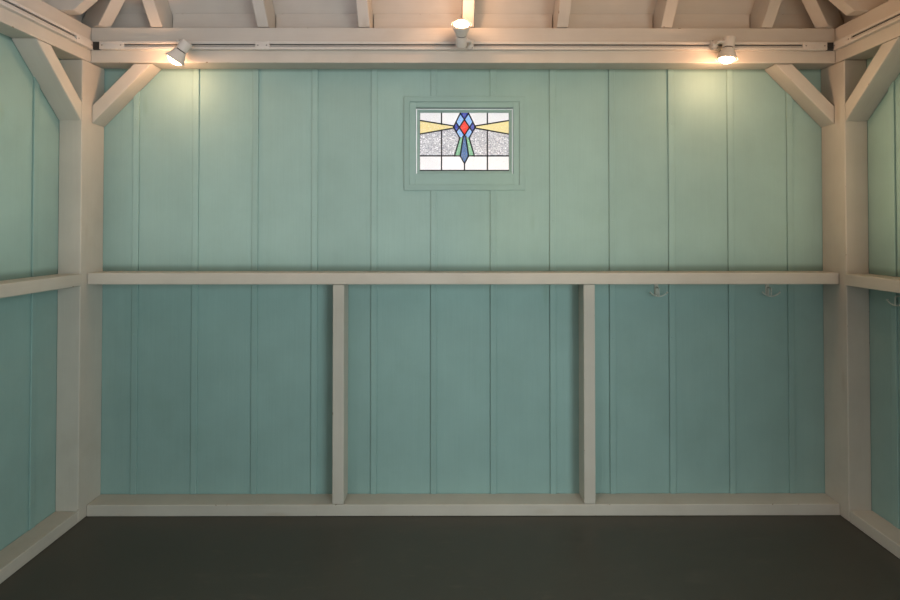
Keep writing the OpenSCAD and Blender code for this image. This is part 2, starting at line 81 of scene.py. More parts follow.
def loose_parts(form):
    """The faces of each loose part, in the order in which the mesh holds them."""
    for face in form.faces:
        face.tag = False
    parts = []
    for first in form.faces:
        if first.tag:
            continue
        first.tag = True
        part = [first]
        for face in part:
            for edge in face.edges:
                for near in edge.link_faces:
                    if not near.tag:
                        near.tag = True
                        part.append(near)
        parts.append(part)
    return parts


def lay_grain(form, seed):
    """Lays the UV map of each loose timber along its longest edge, and gives it a shade number."""
    grain = form.loops.layers.uv.new("grain")
    shade = form.faces.layers.float.new("shade")
    draw = random.Random(seed)
    form.normal_update()
    for part in loose_parts(form):
        longest = max((edge for face in part for edge in face.edges), key=lambda e: e.calc_length())
        axis = (longest.verts[1].co - longest.verts[0].co).normalized()
        across = axis.orthogonal().normalized()
        shift, number = Vector((draw.uniform(0, 9), draw.uniform(0, 9))), draw.random()
        for face in part:
            face[shade] = number
            on_end = abs(face.normal.dot(axis)) > 0.7
            first = across if on_end else axis
            second = first.cross(face.normal).normalized()
            for loop in face.loops:
                place = loop.vert.co
                loop[grain].uv = Vector((place.dot(first), place.dot(second))) + shift
    return form


def piece(name, form, material, nodes=(), slot=None, body="hut", smooth=False):
    """Makes a piece from a mesh in the making. It hides the CAD nodes that it stands for, and rides on its
    body.
    Its slot, the one given or its material's name without the number that Blender adds, is worked out but not
    used."""
    slot = slot or material.name.split(".")[0]
    mesh = bpy.data.meshes.new(name)
    form.to_mesh(mesh)
    form.free()
    mesh.materials.append(material)
    mesh.polygons.foreach_set("use_smooth", [smooth] * len(mesh.polygons))
    if smooth:
        mesh.set_sharp_from_angle(angle=math.radians(35))
    made = bpy.data.objects.new(name, mesh)
    scene.collection.objects.link(made)
    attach(made, body)
    if nodes:
        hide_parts(*nodes)
    return made


class Wire:
    """An output in a node tree. Sums on it are written as on a number; node() adds the rest."""

    def __init__(self, tree, socket=None):
        self.tree, self.socket = tree, socket

    def node(self, kind, sockets=None, out=0, **values):
        """Adds a node. Names in small letters are its settings, and the others are its sockets."""
        made = self.tree.nodes.new(kind)
        sockets = dict(sockets or {})
        for name, value in values.items():
            if name.islower():
                setattr(made, name, value)
            else:
                sockets[name.replace("_", " ")] = value
        for name, value in sockets.items():
            if isinstance(value, Wire):
                self.tree.links.new(value.socket, made.inputs[name])
            else:
                made.inputs[name].default_value = value
        return Wire(self.tree, made.outputs[out]) if made.outputs else None

    def sum(self, operation, *terms):
        return self.node("ShaderNodeMath", dict(enumerate(terms)), operation=operation)

    def __add__(self, other):
        return self.sum("ADD", self, other)

    def __sub__(self, other):
        return self.sum("SUBTRACT", self, other)

    def __rsub__(self, other):
        return self.sum("SUBTRACT", other, self)

    def __mul__(self, other):
        return self.sum("MULTIPLY", self, other)

    def __truediv__(self, other):
        return self.sum("DIVIDE", self, other)

    __radd__, __rmul__ = __add__, __mul__

    def place(self):
        return self.node("ShaderNodeTexCoord", out="Object")

    def grain(self):
        return self.node("ShaderNodeUVMap", uv_map="grain")

    def attribute(self, name, out="Fac"):
        return self.node("ShaderNodeAttribute", out=out, attribute_name=name)

    def part(self, axis):
        return self.node("ShaderNodeSeparateXYZ", {0: self}, axis)

    def vector(self, x, y, z):
        return self.node("ShaderNodeCombineXYZ", X=x, Y=y, Z=z)

    def stretch(self, *scale):
        return self.node("ShaderNodeVectorMath", {0: self, 1: scale}, operation="MULTIPLY")

    def noise(self, scale, detail=3.0, roughness=0.5):
        return self.node("ShaderNodeTexNoise", Vector=self, Scale=scale, Detail=detail, Roughness=roughness)

    def cells(self, scale):
        return self.node("ShaderNodeTexVoronoi", out="Distance", Vector=self, Scale=scale)

    def band(self, low, high):
        return self.node("ShaderNodeMapRange", interpolation_type="SMOOTHSTEP", Value=self,
                         From_Min=low, From_Max=high)

    def tint(self, colour):
        return self.node("ShaderNodeVectorMath", {0: colour}, operation="SCALE", Scale=self)

    def mix(self, first, second):
        """From the first colour to the second, by this wire."""
        sides = {6: first, 7: second}
        for side, colour in sides.items():
            if not isinstance(colour, Wire):
                sides[side] = (*colour, 1.0)
        return self.node("ShaderNodeMix", {0: self, **sides}, 2, data_type="RGBA")


def look(colour, roughness=None, height=None, **more):
    """What a recipe gives to the shader. The height is the relief of the surface, in metres."""
    looks = {"Base Color": colour, "Roughness": roughness, **more}
    if height:
        looks["Normal"] = height.node("ShaderNodeBump", Height=height, Distance=1.0)
    return looks


def finish(name, recipe, **plain):
    """A material on the Principled shader. The recipe gives what varies, and plain the rest."""
    made = bpy.data.materials.new(name)
    made.use_nodes = True
    shader = made.node_tree.nodes["Principled BSDF"]
    for socket, value in plain.items():
        shader.inputs[socket.replace("_", " ")].default_value = value
    for socket, wire in recipe(Wire(made.node_tree)).items():
        if wire:
            made.node_tree.links.new(wire.socket, shader.inputs[socket.replace("_", " ")])
    return made


def bare_softwood(start):
    """Treated softwood: growth rings, knots, and grime that darkens it from board to board."""
    place, grain = start.place(), start.grain()
    rings = grain.stretch(1.6, 70, 1).noise(1.0, 5.0, 0.6)
    fibres = grain.stretch(12, 900, 1).noise(1.0, 2.0)
    knots = 1 - grain.stretch(1.3, 5.5, 1).cells(1.0).band(0.03, 0.09)
    light = 0.72 + 0.3 * start.attribute("shade") + 0.25 * (fibres - 0.5) + 0.3 * (place.noise(2.5) - 0.5)
    wood = rings.band(0.35, 0.7).mix((0.30, 0.195, 0.105), (0.17, 0.10, 0.05))
    return look(light.tint(knots.mix(wood, (0.07, 0.035, 0.018))), 0.72 + 0.2 * fibres,
                0.0006 * rings + 0.0002 * fibres)


def timbers(nodes, worked, material, seed, width, off=0.0):
    """Pieces of whole CAD nodes with rounded edges, and planed down by off so that their joints show."""
    for number, node in enumerate(nodes, seed):
        form = whole(node)
        if off:
            form.normal_update()
            moves = [(vert, vert.normal * vert.calc_shell_factor() * off) for vert in form.verts]
            for vert, move in moves:
                vert.co -= move
        piece(node + worked, lay_grain(ease(form, width), number), material, [node])


raw_timber = finish("raw_timber", bare_softwood)
timbers(("floor_rims", "floor_joists"), "_sawn", raw_timber, seed=0, width=0.003)

# The deck is of sheets screwed down on the joists and rolled with dark grey floor paint, which
# hides their joints. Feet have scuffed it, and dust lies on it in the corners.


def floor_paint(start):
    place = start.place()
    scuffs = place.stretch(9, 26, 1).noise(1.0, 6.0, 0.7).band(0.56, 0.72)
    cloud = place.noise(1.7, 4.0)
    orange_peel = place.noise(260, 2.0)
    dust = place.noise(7, 5.0, 0.65).band(0.5, 0.8)
    worn = start.attribute("arris") * place.noise(24, 3.0).band(0.5, 0.6)
    light = 0.86 + 0.28 * cloud
    painted = (0.35 * scuffs + 0.12 * dust).mix(light.tint((0.058, 0.054, 0.041)), (0.17, 0.16, 0.135))
    return look(worn.mix(painted, (0.20, 0.15, 0.09)), 0.42 + 0.25 * scuffs + 0.1 * dust,
                0.00012 * orange_peel + 0.0004 * place.noise(5, 2.0))


grey_floor_paint = finish("grey_floor_paint", floor_paint)
timbers(["floor_deck"], "_painted", grey_floor_paint, seed=2, width=0.002)

# Sills, posts, plates, braces, shelf rails and studs are planed softwood, nailed together and
# brushed with off-white paint. Grain and knots tell through it, and it wears at the arrises.
planed_off = 0.0009


def brushed_paint(paint, bare, resin):
    """Brush paint on softwood: what shows through it, what has soiled it and where it has gone."""
    def recipe(start):
        place, grain = start.place(), start.grain()
        rings = grain.stretch(1.8, 52, 1).noise(1.0, 4.0, 0.6)
        strokes = grain.stretch(7, 420, 1).noise(1.0, 3.0)
        cloud = place.noise(1.4, 4.0)
        soil = place.noise(4.5, 5.0, 0.65).band(0.45, 0.85)
        knots = 1 - grain.stretch(1.1, 4.2, 1).cells(1.0).band(0.02, 0.085)
        chips = start.attribute("arris") * place.noise(38, 4.0, 0.6).band(0.66, 0.70)
        light = (0.90 + 0.07 * start.attribute("shade") + 0.06 * (rings - 0.5) + 0.09 * (strokes - 0.5)
                 + 0.20 * (cloud - 0.5) + 0.16 * (place.noise(8, 3.0) - 0.5))
        aged = (0.3 * knots + 0.16 * soil).mix(light.tint(paint), resin)
        return look(chips.mix(aged, bare), 0.44 + 0.12 * strokes + 0.15 * soil + 0.3 * chips,
                    0.0007 * rings + 0.00022 * strokes - 0.0005 * chips)
    return recipe


white_timber = finish("white_timber", brushed_paint((0.59, 0.545, 0.465), (0.24, 0.16, 0.09),
                                                   (0.36, 0.27, 0.17)))
frame_timbers = ("sill_plates", "corner_posts", "plate_back", "plate_front", "plate_left",
                 "plate_right", "knee_braces", "shelf_rails", "rail_studs")
timbers(frame_timbers, "_planed", white_timber, seed=10, width=0.0032, off=planed_off)

# The walls are wide upright boards nailed to the frame. They are butted with a small gap, and
# painted turquoise indoors and out. Those at the window are cut around its sash.
back_pitch, side_pitch = 0.273, 0.2515
board_gap, board_ease = 0.003, 0.0015


def cut_away(form, at, normal):
    """Takes away what lies beyond a plane, and closes the cut."""
    made = bmesh.ops.bisect_plane(form, geom=form.verts[:] + form.edges[:] + form.faces[:], dist=1e-6,
                                  plane_co=at, plane_no=normal, clear_outer=True)
    cut = [e for e in made["geom_cut"] if isinstance(e, bmesh.types.BMEdge)]
    bmesh.ops.holes_fill(form, edges=cut, sides=0)


def take_in(form, *others):
    """Moves other meshes in the making into one."""
    for other in others:
        kept = bpy.data.meshes.new("kept")
        other.to_mesh(kept)
        other.free()
        form.from_mesh(kept)
        bpy.data.meshes.remove(kept)


def sawn_boards(source, axis, joints, gap):
    """Saws a slab at its joints, which are places along an axis, into boards with a gap between."""
    axis, boards = Vector(axis).normalized(), bmesh.new()
    ends = [-1e3, *joints, 1e3]
    for low, high in zip(ends, ends[1:]):
        board = source.copy()
        cut_away(board, axis * (high - gap / 2), axis)
        cut_away(board, axis * (low + gap / 2), -axis)
        take_in(boards, board)
    return boards


def mirrored(places):
    return sorted([-x for x in places] + list(places))


timber_x, timber_y, wall_x, wall_y = 1.750, 1.160, 1.770, 1.180
sill_top, rail_low, rail_high, plate_low = 0.174, 1.135, 1.187, 2.114


def wall_paint(start):
    """Brush paint, with painted shade on the room's side: a darker band in the crease just above the shelf
    rail, and a thin line under the plate.
    """
    looks = brushed_paint((0.290, 0.440, 0.405), (0.20, 0.15, 0.10), (0.17, 0.27, 0.20))(start)
    x, y, z = (start.place().part(axis) for axis in range(3))
    inside = (start.sum("LESS_THAN", start.sum("ABSOLUTE", x), timber_x + 0.002)
              * start.sum("LESS_THAN", start.sum("ABSOLUTE", y), timber_y + 0.002))
    # Painted shade: darker where the wall meets the top of the shelf rail and the underside of the plate,
    # indoors only.
    painted_crease_shade = (2 - start.sum("ABSOLUTE", z - rail_high - 0.004).band(0.004, 0.034)
            - start.sum("ABSOLUTE", z - plate_low).band(0.002, 0.016))
    looks["Base Color"] = (0.5 * inside * painted_crease_shade).mix(looks["Base Color"], (0.05, 0.085, 0.055))
    return looks


turquoise = finish("turquoise_boards", wall_paint)
back_joints = mirrored([(k + 0.5) * back_pitch for k in range(6)])
side_joints = mirrored([(k + 0.5) * side_pitch for k in range(4)])
walls = {"wall_back": ((1, 0, 0), back_joints), "wall_left": ((0, 1, 0), side_joints),
         "wall_right": ((0, 1, 0), side_joints)}
for seed, (node, (axis, joints)) in enumerate(walls.items(), 30):
    form = lay_grain(ease(sawn_boards(whole(node), axis, joints, board_gap), board_ease), seed)
    piece(node + "_boards", form, turquoise, [node])

# Battens cover the boards' joints on both faces of the walls. Indoors they are low and rounded and
# run from timber to timber. Outdoors they are broader and run from the boards' feet to the fascia.


def new_tree(name, sizes):
    """A Geometry Nodes tree with a socket for each size. Gives the wires of its inputs by name."""
    tree = bpy.data.node_groups.new(name, "GeometryNodeTree")
    tree.interface.new_socket("Guides", in_out="INPUT", socket_type="NodeSocketGeometry")
    for size, value in sizes.items():
        kind = "NodeSocketInt" if isinstance(value, int) else "NodeSocketFloat"
        tree.interface.new_socket(size, in_out="INPUT", socket_type=kind).default_value = value
    tree.interface.new_socket("Finish", in_out="INPUT", socket_type="NodeSocketMaterial")
    tree.interface.new_socket("Grown", in_out="OUTPUT", socket_type="NodeSocketGeometry")
    inputs = tree.nodes.new("NodeGroupInput").outputs
    return tree, {socket.name: Wire(tree, socket) for socket in inputs if socket.name}


def stored(start, name, kind="FLOAT"):
    """What a guide says under a name."""
    return start.node("GeometryNodeInputNamedAttribute", data_type=kind, Name=name)


def instances(start, points, shape, turn, size):
    placed = start.node("GeometryNodeInstanceOnPoints", Points=points, Instance=shape, Rotation=turn,
                        Scale=size)
    return start.node("GeometryNodeRealizeInstances", Geometry=placed)


def shaken(shapes, scale, detail, lean, reach):
    """Moves every corner by a noise, in the three directions as much as lean says."""
    noise = shapes.node("ShaderNodeTexNoise", out="Color", Scale=scale, Detail=detail)
    noise = shapes.node("ShaderNodeVectorMath", {0: noise, 1: (0.5, 0.5, 0.5)}, operation="SUBTRACT")
    return shapes.node("GeometryNodeSetPosition", Geometry=shapes, Offset=reach.tint(noise.stretch(*lean)))


def close_tree(given, shapes):
    """Realizes what a tree has placed, and gives it its finish."""
    shapes = shapes.node("GeometryNodeRealizeInstances", Geometry=shapes)
    shapes = shapes.node("GeometryNodeSetMaterial", Geometry=shapes, Material=given["Finish"])
    shapes.node("NodeGroupOutput", Grown=shapes)


def grown(tree, guides, finish, sizes):
    """What a tree grows on its guides. A guide is a place, a turn and a length."""
    mesh = bpy.data.meshes.new("guides")
    mesh.from_pydata([place for place, _, _ in guides], [], [])
    turns = mesh.attributes.new("turn", "FLOAT_VECTOR", "POINT")
    turns.data.foreach_set("vector", [angle for _, turn, _ in guides for angle in turn])
    lengths = mesh.attributes.new("length", "FLOAT", "POINT")
    lengths.data.foreach_set("value", [length for _, _, length in guides])
    host = bpy.data.objects.new("guides", mesh)
    scene.collection.objects.link(host)
    grower = host.modifiers.new("grower", "NODES")
    grower.node_group = tree
    for socket in tree.interface.items_tree:
        if socket.in_out == "INPUT" and socket.name in sizes:
            grower[socket.identifier] = sizes[socket.name]
        elif socket.name == "Finish":
            grower[socket.identifier] = finish
    ready = bpy.data.meshes.new_from_object(host.evaluated_get(bpy.context.evaluated_depsgraph_get()))
    bpy.data.objects.remove(host)
    form = bmesh.new()
    form.from_mesh(ready)
    bpy.data.meshes.remove(ready)
    return form


strips, given = new_tree("strips", {"Width": 0.028, "Depth": 0.008, "Rounding": 0.0024, "Bays": 12,
                                    "Sway": 0.0005})
start = given["Guides"]
outline = start.node("GeometryNodeCurvePrimitiveQuadrilateral", Width=given["Width"], Height=given["Depth"])
outline = start.node("GeometryNodeFilletCurve", mode="POLY", Curve=outline, Radius=given["Rounding"], Count=3)
line = start.node("GeometryNodeCurvePrimitiveLine", End=(0, 0, 1))
line = start.node("GeometryNodeResampleCurve", Curve=line, Count=given["Bays"])
strip = start.node("GeometryNodeCurveToMesh", Curve=line, Profile_Curve=outline, Fill_Caps=True)
size = start.vector(1.0, 1.0, stored(start, "length"))
placed = instances(start, start, strip, stored(start, "turn", "FLOAT_VECTOR"), size)
close_tree(given, shaken(placed, 2.1, 1.0, (1, 1, 1), given["Sway"]))

board_low, fascia_low = 0.020, 2.192
inner_depth, outer_depth, outer_width = 0.008, 0.014, 0.040
inner_runs = ((sill_top, rail_low), (rail_high, plate_low))
window_breaks = {0.1365: {rail_high: ((rail_high, 1.556), (1.988, plate_low)),
                          board_low: ((board_low, 1.522), (2.022, fascia_low))}}
quarter = math.pi / 2


def batten_guides(across, places, runs, turn, window):
    """Guides for upright battens at places along a wall, broken where the window is."""
    guides = []
    for place in places:
        broken = window_breaks.get(round(abs(place), 4), {}) if window else {}
        for run in runs:
            for low, high in broken.get(run[0], (run,)):
                guides.append((across(place, low), (0, 0, turn), high - low))
    return guides


outer_run = ((board_low, fascia_low),)
inner_guides = batten_guides(lambda x, z: (x, timber_y - inner_depth / 2, z), back_joints, inner_runs,
                             0, True)
outer_guides = batten_guides(lambda x, z: (x, wall_y + outer_depth / 2, z), back_joints, outer_run, 0, True)
for side in (-1, 1):
    inner_guides += batten_guides(lambda y, z: (side * (timber_x - inner_depth / 2), y, z), side_joints,
                                  inner_runs, quarter, False)
    outer_guides += batten_guides(lambda y, z: (side * (wall_x + outer_depth / 2), y, z), side_joints,
                                  outer_run, quarter, False)
form = grown(strips, inner_guides, turquoise, {"Width": 0.028, "Depth": inner_depth})
piece("inner_battens", lay_grain(form, 40), turquoise)
form = grown(strips, outer_guides, turquoise, {"Width": outer_width, "Depth": outer_depth})
piece("outer_battens", lay_grain(form, 41), turquoise)

# Round-headed nails hold the battens. They are driven flush by hand and painted over, so their
# heads show as small bumps, and here and there as a rusty dot.
nails, given = new_tree("nails", {"Radius": 0.0035, "Height": 0.0012})
start = given["Guides"]
head = start.node("GeometryNodeMeshUVSphere", Segments=10, Rings=6, Radius=1.0)
size = start.vector(given["Radius"], given["Radius"], given["Height"])
close_tree(given, instances(start, start, head, stored(start, "turn", "FLOAT_VECTOR"), size))
to_front, to_back, to_right, to_left = (quarter, 0, 0), (-quarter, 0, 0), (0, quarter, 0), (0, -quarter, 0)
nail_spacing = 0.42


def nails_along(guides, offset, turn):
    """Nails down the middle of battens, on the face that lies at an offset from their guides."""
    draw, heads = random.Random(len(guides)), []
    for (x, y, z), _, length in guides:
        count = max(2, round(length / nail_spacing))
        for i in range(count):
            high = z + length * (i + 0.5) / count + draw.uniform(-0.02, 0.02)
            heads.append((Vector((x + draw.uniform(-0.003, 0.003) * (offset[0] == 0),
                                  y + draw.uniform(-0.003, 0.003) * (offset[1] == 0), high))
                          + Vector(offset), turn, 1.0))
    return heads


heads = []
for guides, depth in ((inner_guides, -inner_depth / 2), (outer_guides, outer_depth / 2)):
    on_back = [g for g in guides if g[1][2] == 0]
    heads += nails_along(on_back, (0, depth, 0), to_front if depth < 0 else to_back)
    for side, turns in ((-1, (to_right, to_left)), (1, (to_left, to_right))):
        on_side = [g for g in guides if g[1][2] and g[0][0] * side > 0]
        heads += nails_along(on_side, (side * depth, 0, 0), turns[depth > 0])
form = grown(nails, heads, turquoise, {})
piece("batten_nails", lay_grain(form, 42), turquoise, smooth=True)

# The window is a small fixed sash, painted with the wall. Its four members are joined square, with
# a moulding around the light, and flat strips cover its joint with the boards on both sides.
window_x, window_z = 0.005, 1.772
sash_w, sash_h, stile_w, top_w, low_w = 0.504, 0.380, 0.041, 0.038, 0.064
sash_front, sash_back = timber_y - 0.006, timber_y + 0.026
light_w, light_h = sash_w - 2 * stile_w, sash_h - top_w - low_w
light_z = window_z + (low_w - top_w) / 2
mould = 0.013


def shifted(place, turn=0.0, axis="Z"):
    """The matrix of a place, with a turn about an axis there."""
    return Matrix.Translation(place) @ Matrix.Rotation(turn, 4, axis)


def box_in(form, low, high):
    """Adds a box to a mesh in the making, from its lowest corner to its highest one."""
    low, high = Vector(low), Vector(high)
    size = Matrix.Diagonal((*(high - low), 1))
    bmesh.ops.create_cube(form, size=1.0, matrix=shifted((low + high) / 2) @ size)


def skin(form, rings, closed=True):
    """Joins rings of corners with faces one after another, and closes both ends if they are open."""
    made = [form.faces.new(rings[0]), form.faces.new(rings[-1][::-1])] if closed else []
    for here, there in zip(rings, rings[1:]):
        for i in range(len(here)):
            made.append(form.faces.new(list(dict.fromkeys((here[i - 1], here[i], there[i], there[i - 1])))))
    bmesh.ops.recalc_face_normals(form, faces=made)
    return made


def ring_in(form, outline, half_w, half_h, middle):
    """Adds a moulding around an upright rectangle. Its outline is of steps outwards and to the back."""
    corners = ((-1, -1), (1, -1), (1, 1), (-1, 1))
    x, y, z = middle
    loops = [[form.verts.new((x + sx * (half_w + out), y + back, z + sz * (half_h + out)))
              for out, back in outline] for sx, sz in corners]
    skin(form, loops + loops[:1], closed=False)


form = bmesh.new()
left, right = window_x - sash_w / 2, window_x + sash_w / 2
low, high = window_z - sash_h / 2, window_z + sash_h / 2
for low_x, high_x in ((left, left + stile_w - mould), (right - stile_w + mould, right)):
    box_in(form, (low_x, sash_front, low), (high_x, sash_back, high))
for low_z, high_z in ((low, low + low_w - mould), (high - top_w + mould, high)):
    box_in(form, (left + stile_w - mould, sash_front, low_z), (right - stile_w + mould, sash_back, high_z))
ease(form, 0.0012)
sunk = ((0, 0.0075), (0, 0.003), (0.003, 0.0025), (0.0055, 0), (0.010, -0.0035), (mould, -0.004),
        (mould, 0.024), (0.010, 0.0235), (0.001, 0.0155), (0, 0.0125))
ring_in(form, sunk, light_w / 2 - 0.005, light_h / 2 - 0.004, (window_x, timber_y, light_z - 0.004))
piece("window_sash_joined", lay_grain(form, 50), turquoise, ["window_sash"])

form = bmesh.new()
flat_strip = ((0, 0), (0, -0.0105), (0.0015, -0.012), (0.0245, -0.012), (0.026, -0.0105), (0.026, 0))
ring_in(form, flat_strip, sash_w / 2, sash_h / 2, (window_x, timber_y, window_z))
piece("window_strip_inside_mitred", lay_grain(form, 51), turquoise, ["window_strip_inside"])
timbers(["window_strip_outside"], "_planed", white_timber, seed=52, width=0.002)

# The light is leaded: panes of cast, rolled and coloured glass lie in lead cames, which are soldered
# where they meet. Rays, a diamond and a kite make its pattern, as in many houses of a century ago.
glass_low, glass_high = timber_y + 0.0085, timber_y + 0.0115
edge_x, edge_z = light_w / 2 * 1000 + 3, light_h / 2 * 1000 + 3
lead_x, lead_z, ray_far_top, ray_far_low = 106, -68.5, 97, 31
mottled, rippled, amber = ((0.93, 0.93, 0.93), 0), ((0.90, 0.91, 0.93), 1), ((0.95, 0.80, 0.38), 0)
red, pale_blue, deep_blue = ((0.90, 0.03, 0.015), 0), ((0.28, 0.52, 0.88), 0), ((0.03, 0.07, 0.42), 0)
kite_blue, green = ((0.02, 0.14, 0.36), 0), ((0.20, 0.50, 0.30), 0)
ray_top, ray_low = (-48, 70), (-48, 60.6)
upper, lower = (-lead_x, 79), (-lead_x, 50)
half_panes = (
    (mottled, ((-edge_x, edge_z), (-lead_x, edge_z), upper, (-edge_x, ray_far_top))),
    (mottled, ((-lead_x, edge_z), (-13, edge_z), ray_top, upper)),
    (amber, ((-edge_x, ray_far_top), ray_top, (-50.5, 65), ray_low, (-edge_x, ray_far_low))),
    (rippled, ((-edge_x, ray_far_low), lower, (-lead_x, lead_z), (-edge_x, lead_z))),
    (rippled, (lower, ray_low, (-22, 15), (-46, lead_z), (-lead_x, lead_z))),
    (mottled, ((-edge_x, lead_z), (-lead_x, lead_z), (-lead_x, -edge_z), (-edge_x, -edge_z))),
    (mottled, ((-lead_x, lead_z), (-19.5, lead_z), (0, -104), (0, -edge_z), (-lead_x, -edge_z))),
    (green, ((-22, 15), (-6, 21), (-19.5, lead_z), (-46, lead_z))),
    (pale_blue, ((-18.6, 127.9), (0, 100), (-24, 64), (-39, 87.7))),
    (deep_blue, ((-50.5, 65), (-39, 87.7), (-24, 64), (-38, 43))),
    (pale_blue, ((-38, 43), (-24, 64), (0, 27), (-6, 21), (-22, 15))))
middle_panes = (
    (deep_blue, ((-13, edge_z), (13, edge_z), (18.6, 127.9), (0, 100), (-18.6, 127.9))),
    (red, ((0, 100), (24, 64), (0, 27), (-24, 64))),
    (kite_blue, ((0, 27), (6, 21), (19.5, lead_z), (0, -104), (-19.5, lead_z), (-6, 21))))
mirror_panes = tuple((glass, tuple((-x, z) for x, z in corners)) for glass, corners in half_panes)


def textured_glass(start):
    """Cast glass. The stain is the pane's colour, and the figure is 0 for mottled and 1 for rippled."""
    place = start.place()
    stain = start.attribute("stain", "Color")
    figure = start.attribute("figure")
    fine = place.noise(320, 3.0, 0.6)
    coarse = place.stretch(1.0, 1.0, 1.9).noise(95, 2.0, 0.5)
    folds = coarse.band(0.36, 0.47) * (1 - coarse.band(0.53, 0.64))
    # Painted refraction: the colour darkens along the rippled glass's folds and in small specks on the
    # mottled glass.
    painted_refraction = figure * 0.62 * folds + (1 - figure) * 0.16 * fine.band(0.5, 0.72)
    return look(painted_refraction.mix(stain, (0.10, 0.12, 0.16)), 0.12 + 0.25 * fine,
                0.0006 * figure * coarse + 0.00025 * fine)


leaded_glass = finish("leaded_glass", textured_glass, Transmission_Weight=1.0, IOR=1.5)
form = bmesh.new()
stain = form.loops.layers.float_color.new("stain")
figure = form.faces.layers.float.new("figure")
draw = random.Random(8)
for (colour, texture), corners in half_panes + mirror_panes + middle_panes:
    shade = draw.uniform(0.92, 1.0)
    rings = [[form.verts.new((window_x + x / 1000, y, light_z + z / 1000)) for x, z in corners]
             for y in (glass_low, glass_high)]
    for face in skin(form, rings):
        face[figure] = texture
        for loop in face.loops:
            loop[stain] = (*(shade * part for part in colour), 1.0)
piece("window_panes", form, leaded_glass, ["window_glass"])

came_w, came_d = 0.0062, 0.0100
came_lines = [((-13, edge_z), (-50.5, 65), (-22, 15), (-46, lead_z)),
              ((-edge_x, ray_far_top), ray_top), ((-edge_x, ray_far_low), ray_low),
              ((-lead_x, edge_z), upper), (lower, (-lead_x, -edge_z)),
              ((-edge_x, lead_z), (-19.5, lead_z)),
              ((-18.6, 127.9), (0, 100), (24, 64), (38, 43)), ((-39, 87.7), (-24, 64), (0, 27)),
              ((0, 27), (-6, 21), (-19.5, lead_z), (0, -104))]
came_lines += [tuple((-x, z) for x, z in line) for line in came_lines] + [((0, -104), (0, -edge_z))]


def old_lead(start):
    place = start.place()
    bloom = place.noise(60, 4.0, 0.6)
    return look(bloom.band(0.45, 0.75).mix((0.016, 0.016, 0.018), (0.06, 0.06, 0.062)),
                0.42 + 0.3 * bloom, 0.0004 * place.noise(180, 3.0))


def bar_in(form, outline, start, end):
    """Adds a straight bar with a closed outline of steps across the line and along y."""
    start, end = Vector(start), Vector(end)
    axis = (end - start).normalized()
    across = Vector((0, 1, 0)).cross(axis)
    skin(form, [[form.verts.new(at + across * u + Vector((0, v, 0))) for u, v in outline]
                for at in (start, end)])


def came_outline(width, depth):
    return [(width / 2 * math.copysign(abs(math.cos(a)) ** 0.6, math.cos(a)), depth / 2 * math.sin(a))
            for a in (math.tau * (i + 0.5) / 10 for i in range(10))]


lead = finish("lead", old_lead, Metallic=0.6)
form = bmesh.new()
joints = set()
for line in came_lines:
    for (x1, z1), (x2, z2) in zip(line, line[1:]):
        ends = [(window_x + x / 1000, (glass_low + glass_high) / 2, light_z + z / 1000)
                for x, z in ((x1, z1), (x2, z2))]
        bar_in(form, came_outline(came_w, came_d), *ends)
        joints.update(ends)
for joint in sorted(joints):
    blob = shifted(joint) @ Matrix.Diagonal((1, 1.15, 1, 1))
    bmesh.ops.create_icosphere(form, subdivisions=2, radius=came_w * 0.72, matrix=blob)
border = [(u - 0.0022, v) for u, v in came_outline(0.0080, 0.0080)]
ring_in(form, border, light_w / 2, light_h / 2, (window_x, (glass_low + glass_high) / 2, light_z))
piece("window_cames", form, lead, [], "leaded_glass", smooth=True)

# Rafters rise from the plates to the hip rafters or to the block at the apex. They are planed and
# painted like the frame, nailed at both ends, and the roof boards lie on them.
roof_timbers = ("rafters_back", "rafters_front", "rafters_left", "rafters_right", "hip_rafters",
                "apex_block", "eaves_boards")
timbers(roof_timbers, "_planed", white_timber, seed=60, width=0.003, off=planed_off)

# The roof boards run level across the rafters and butt over them. Their lower faces were painted
# before they went up, and they show between the rafters. The shingles cover their upper faces.
apex_z, boards_z, board_t = 3.856, 2.316, 0.018
first_joint, board_width, roof_gap, butt_gap, least_long = 0.150, 0.140, 0.0025, 0.0015, 0.2
end_rafters = (-1.360, -0.888, -0.441, 0.019, 0.437, 0.898, 1.344)
side_rafters = (-0.903, -0.474, 0.0, 0.474, 0.903)
slopes = {"right": ((1, 0, 0), wall_x, side_rafters), "left": ((-1, 0, 0), wall_x, side_rafters),
          "back": ((0, 1, 0), wall_y, end_rafters), "front": ((0, -1, 0), wall_y, end_rafters)}


def slope_frame(out, reach):
    """The axes of a slope: along the eaves, up the slope, and square to it."""
    out = Vector(out)
    up = (Vector((0, 0, apex_z - boards_z)) - out * reach).normalized()
    normal = (Vector((0, 0, 1)) - up * up.z).normalized()
    return up.cross(normal), up, normal


def parts_beside(node, out):
    """The loose solids of a CAD node that lie towards one side of the hut."""
    form = whole(node)
    for part in loose_parts(form):
        middle = sum((face.calc_center_median() for face in part), Vector()) / len(part)
        if middle.dot(Vector(out)) < abs(middle.x * out[1]) + abs(middle.y * out[0]):
            bmesh.ops.delete(form, geom=part, context="FACES")
    return form


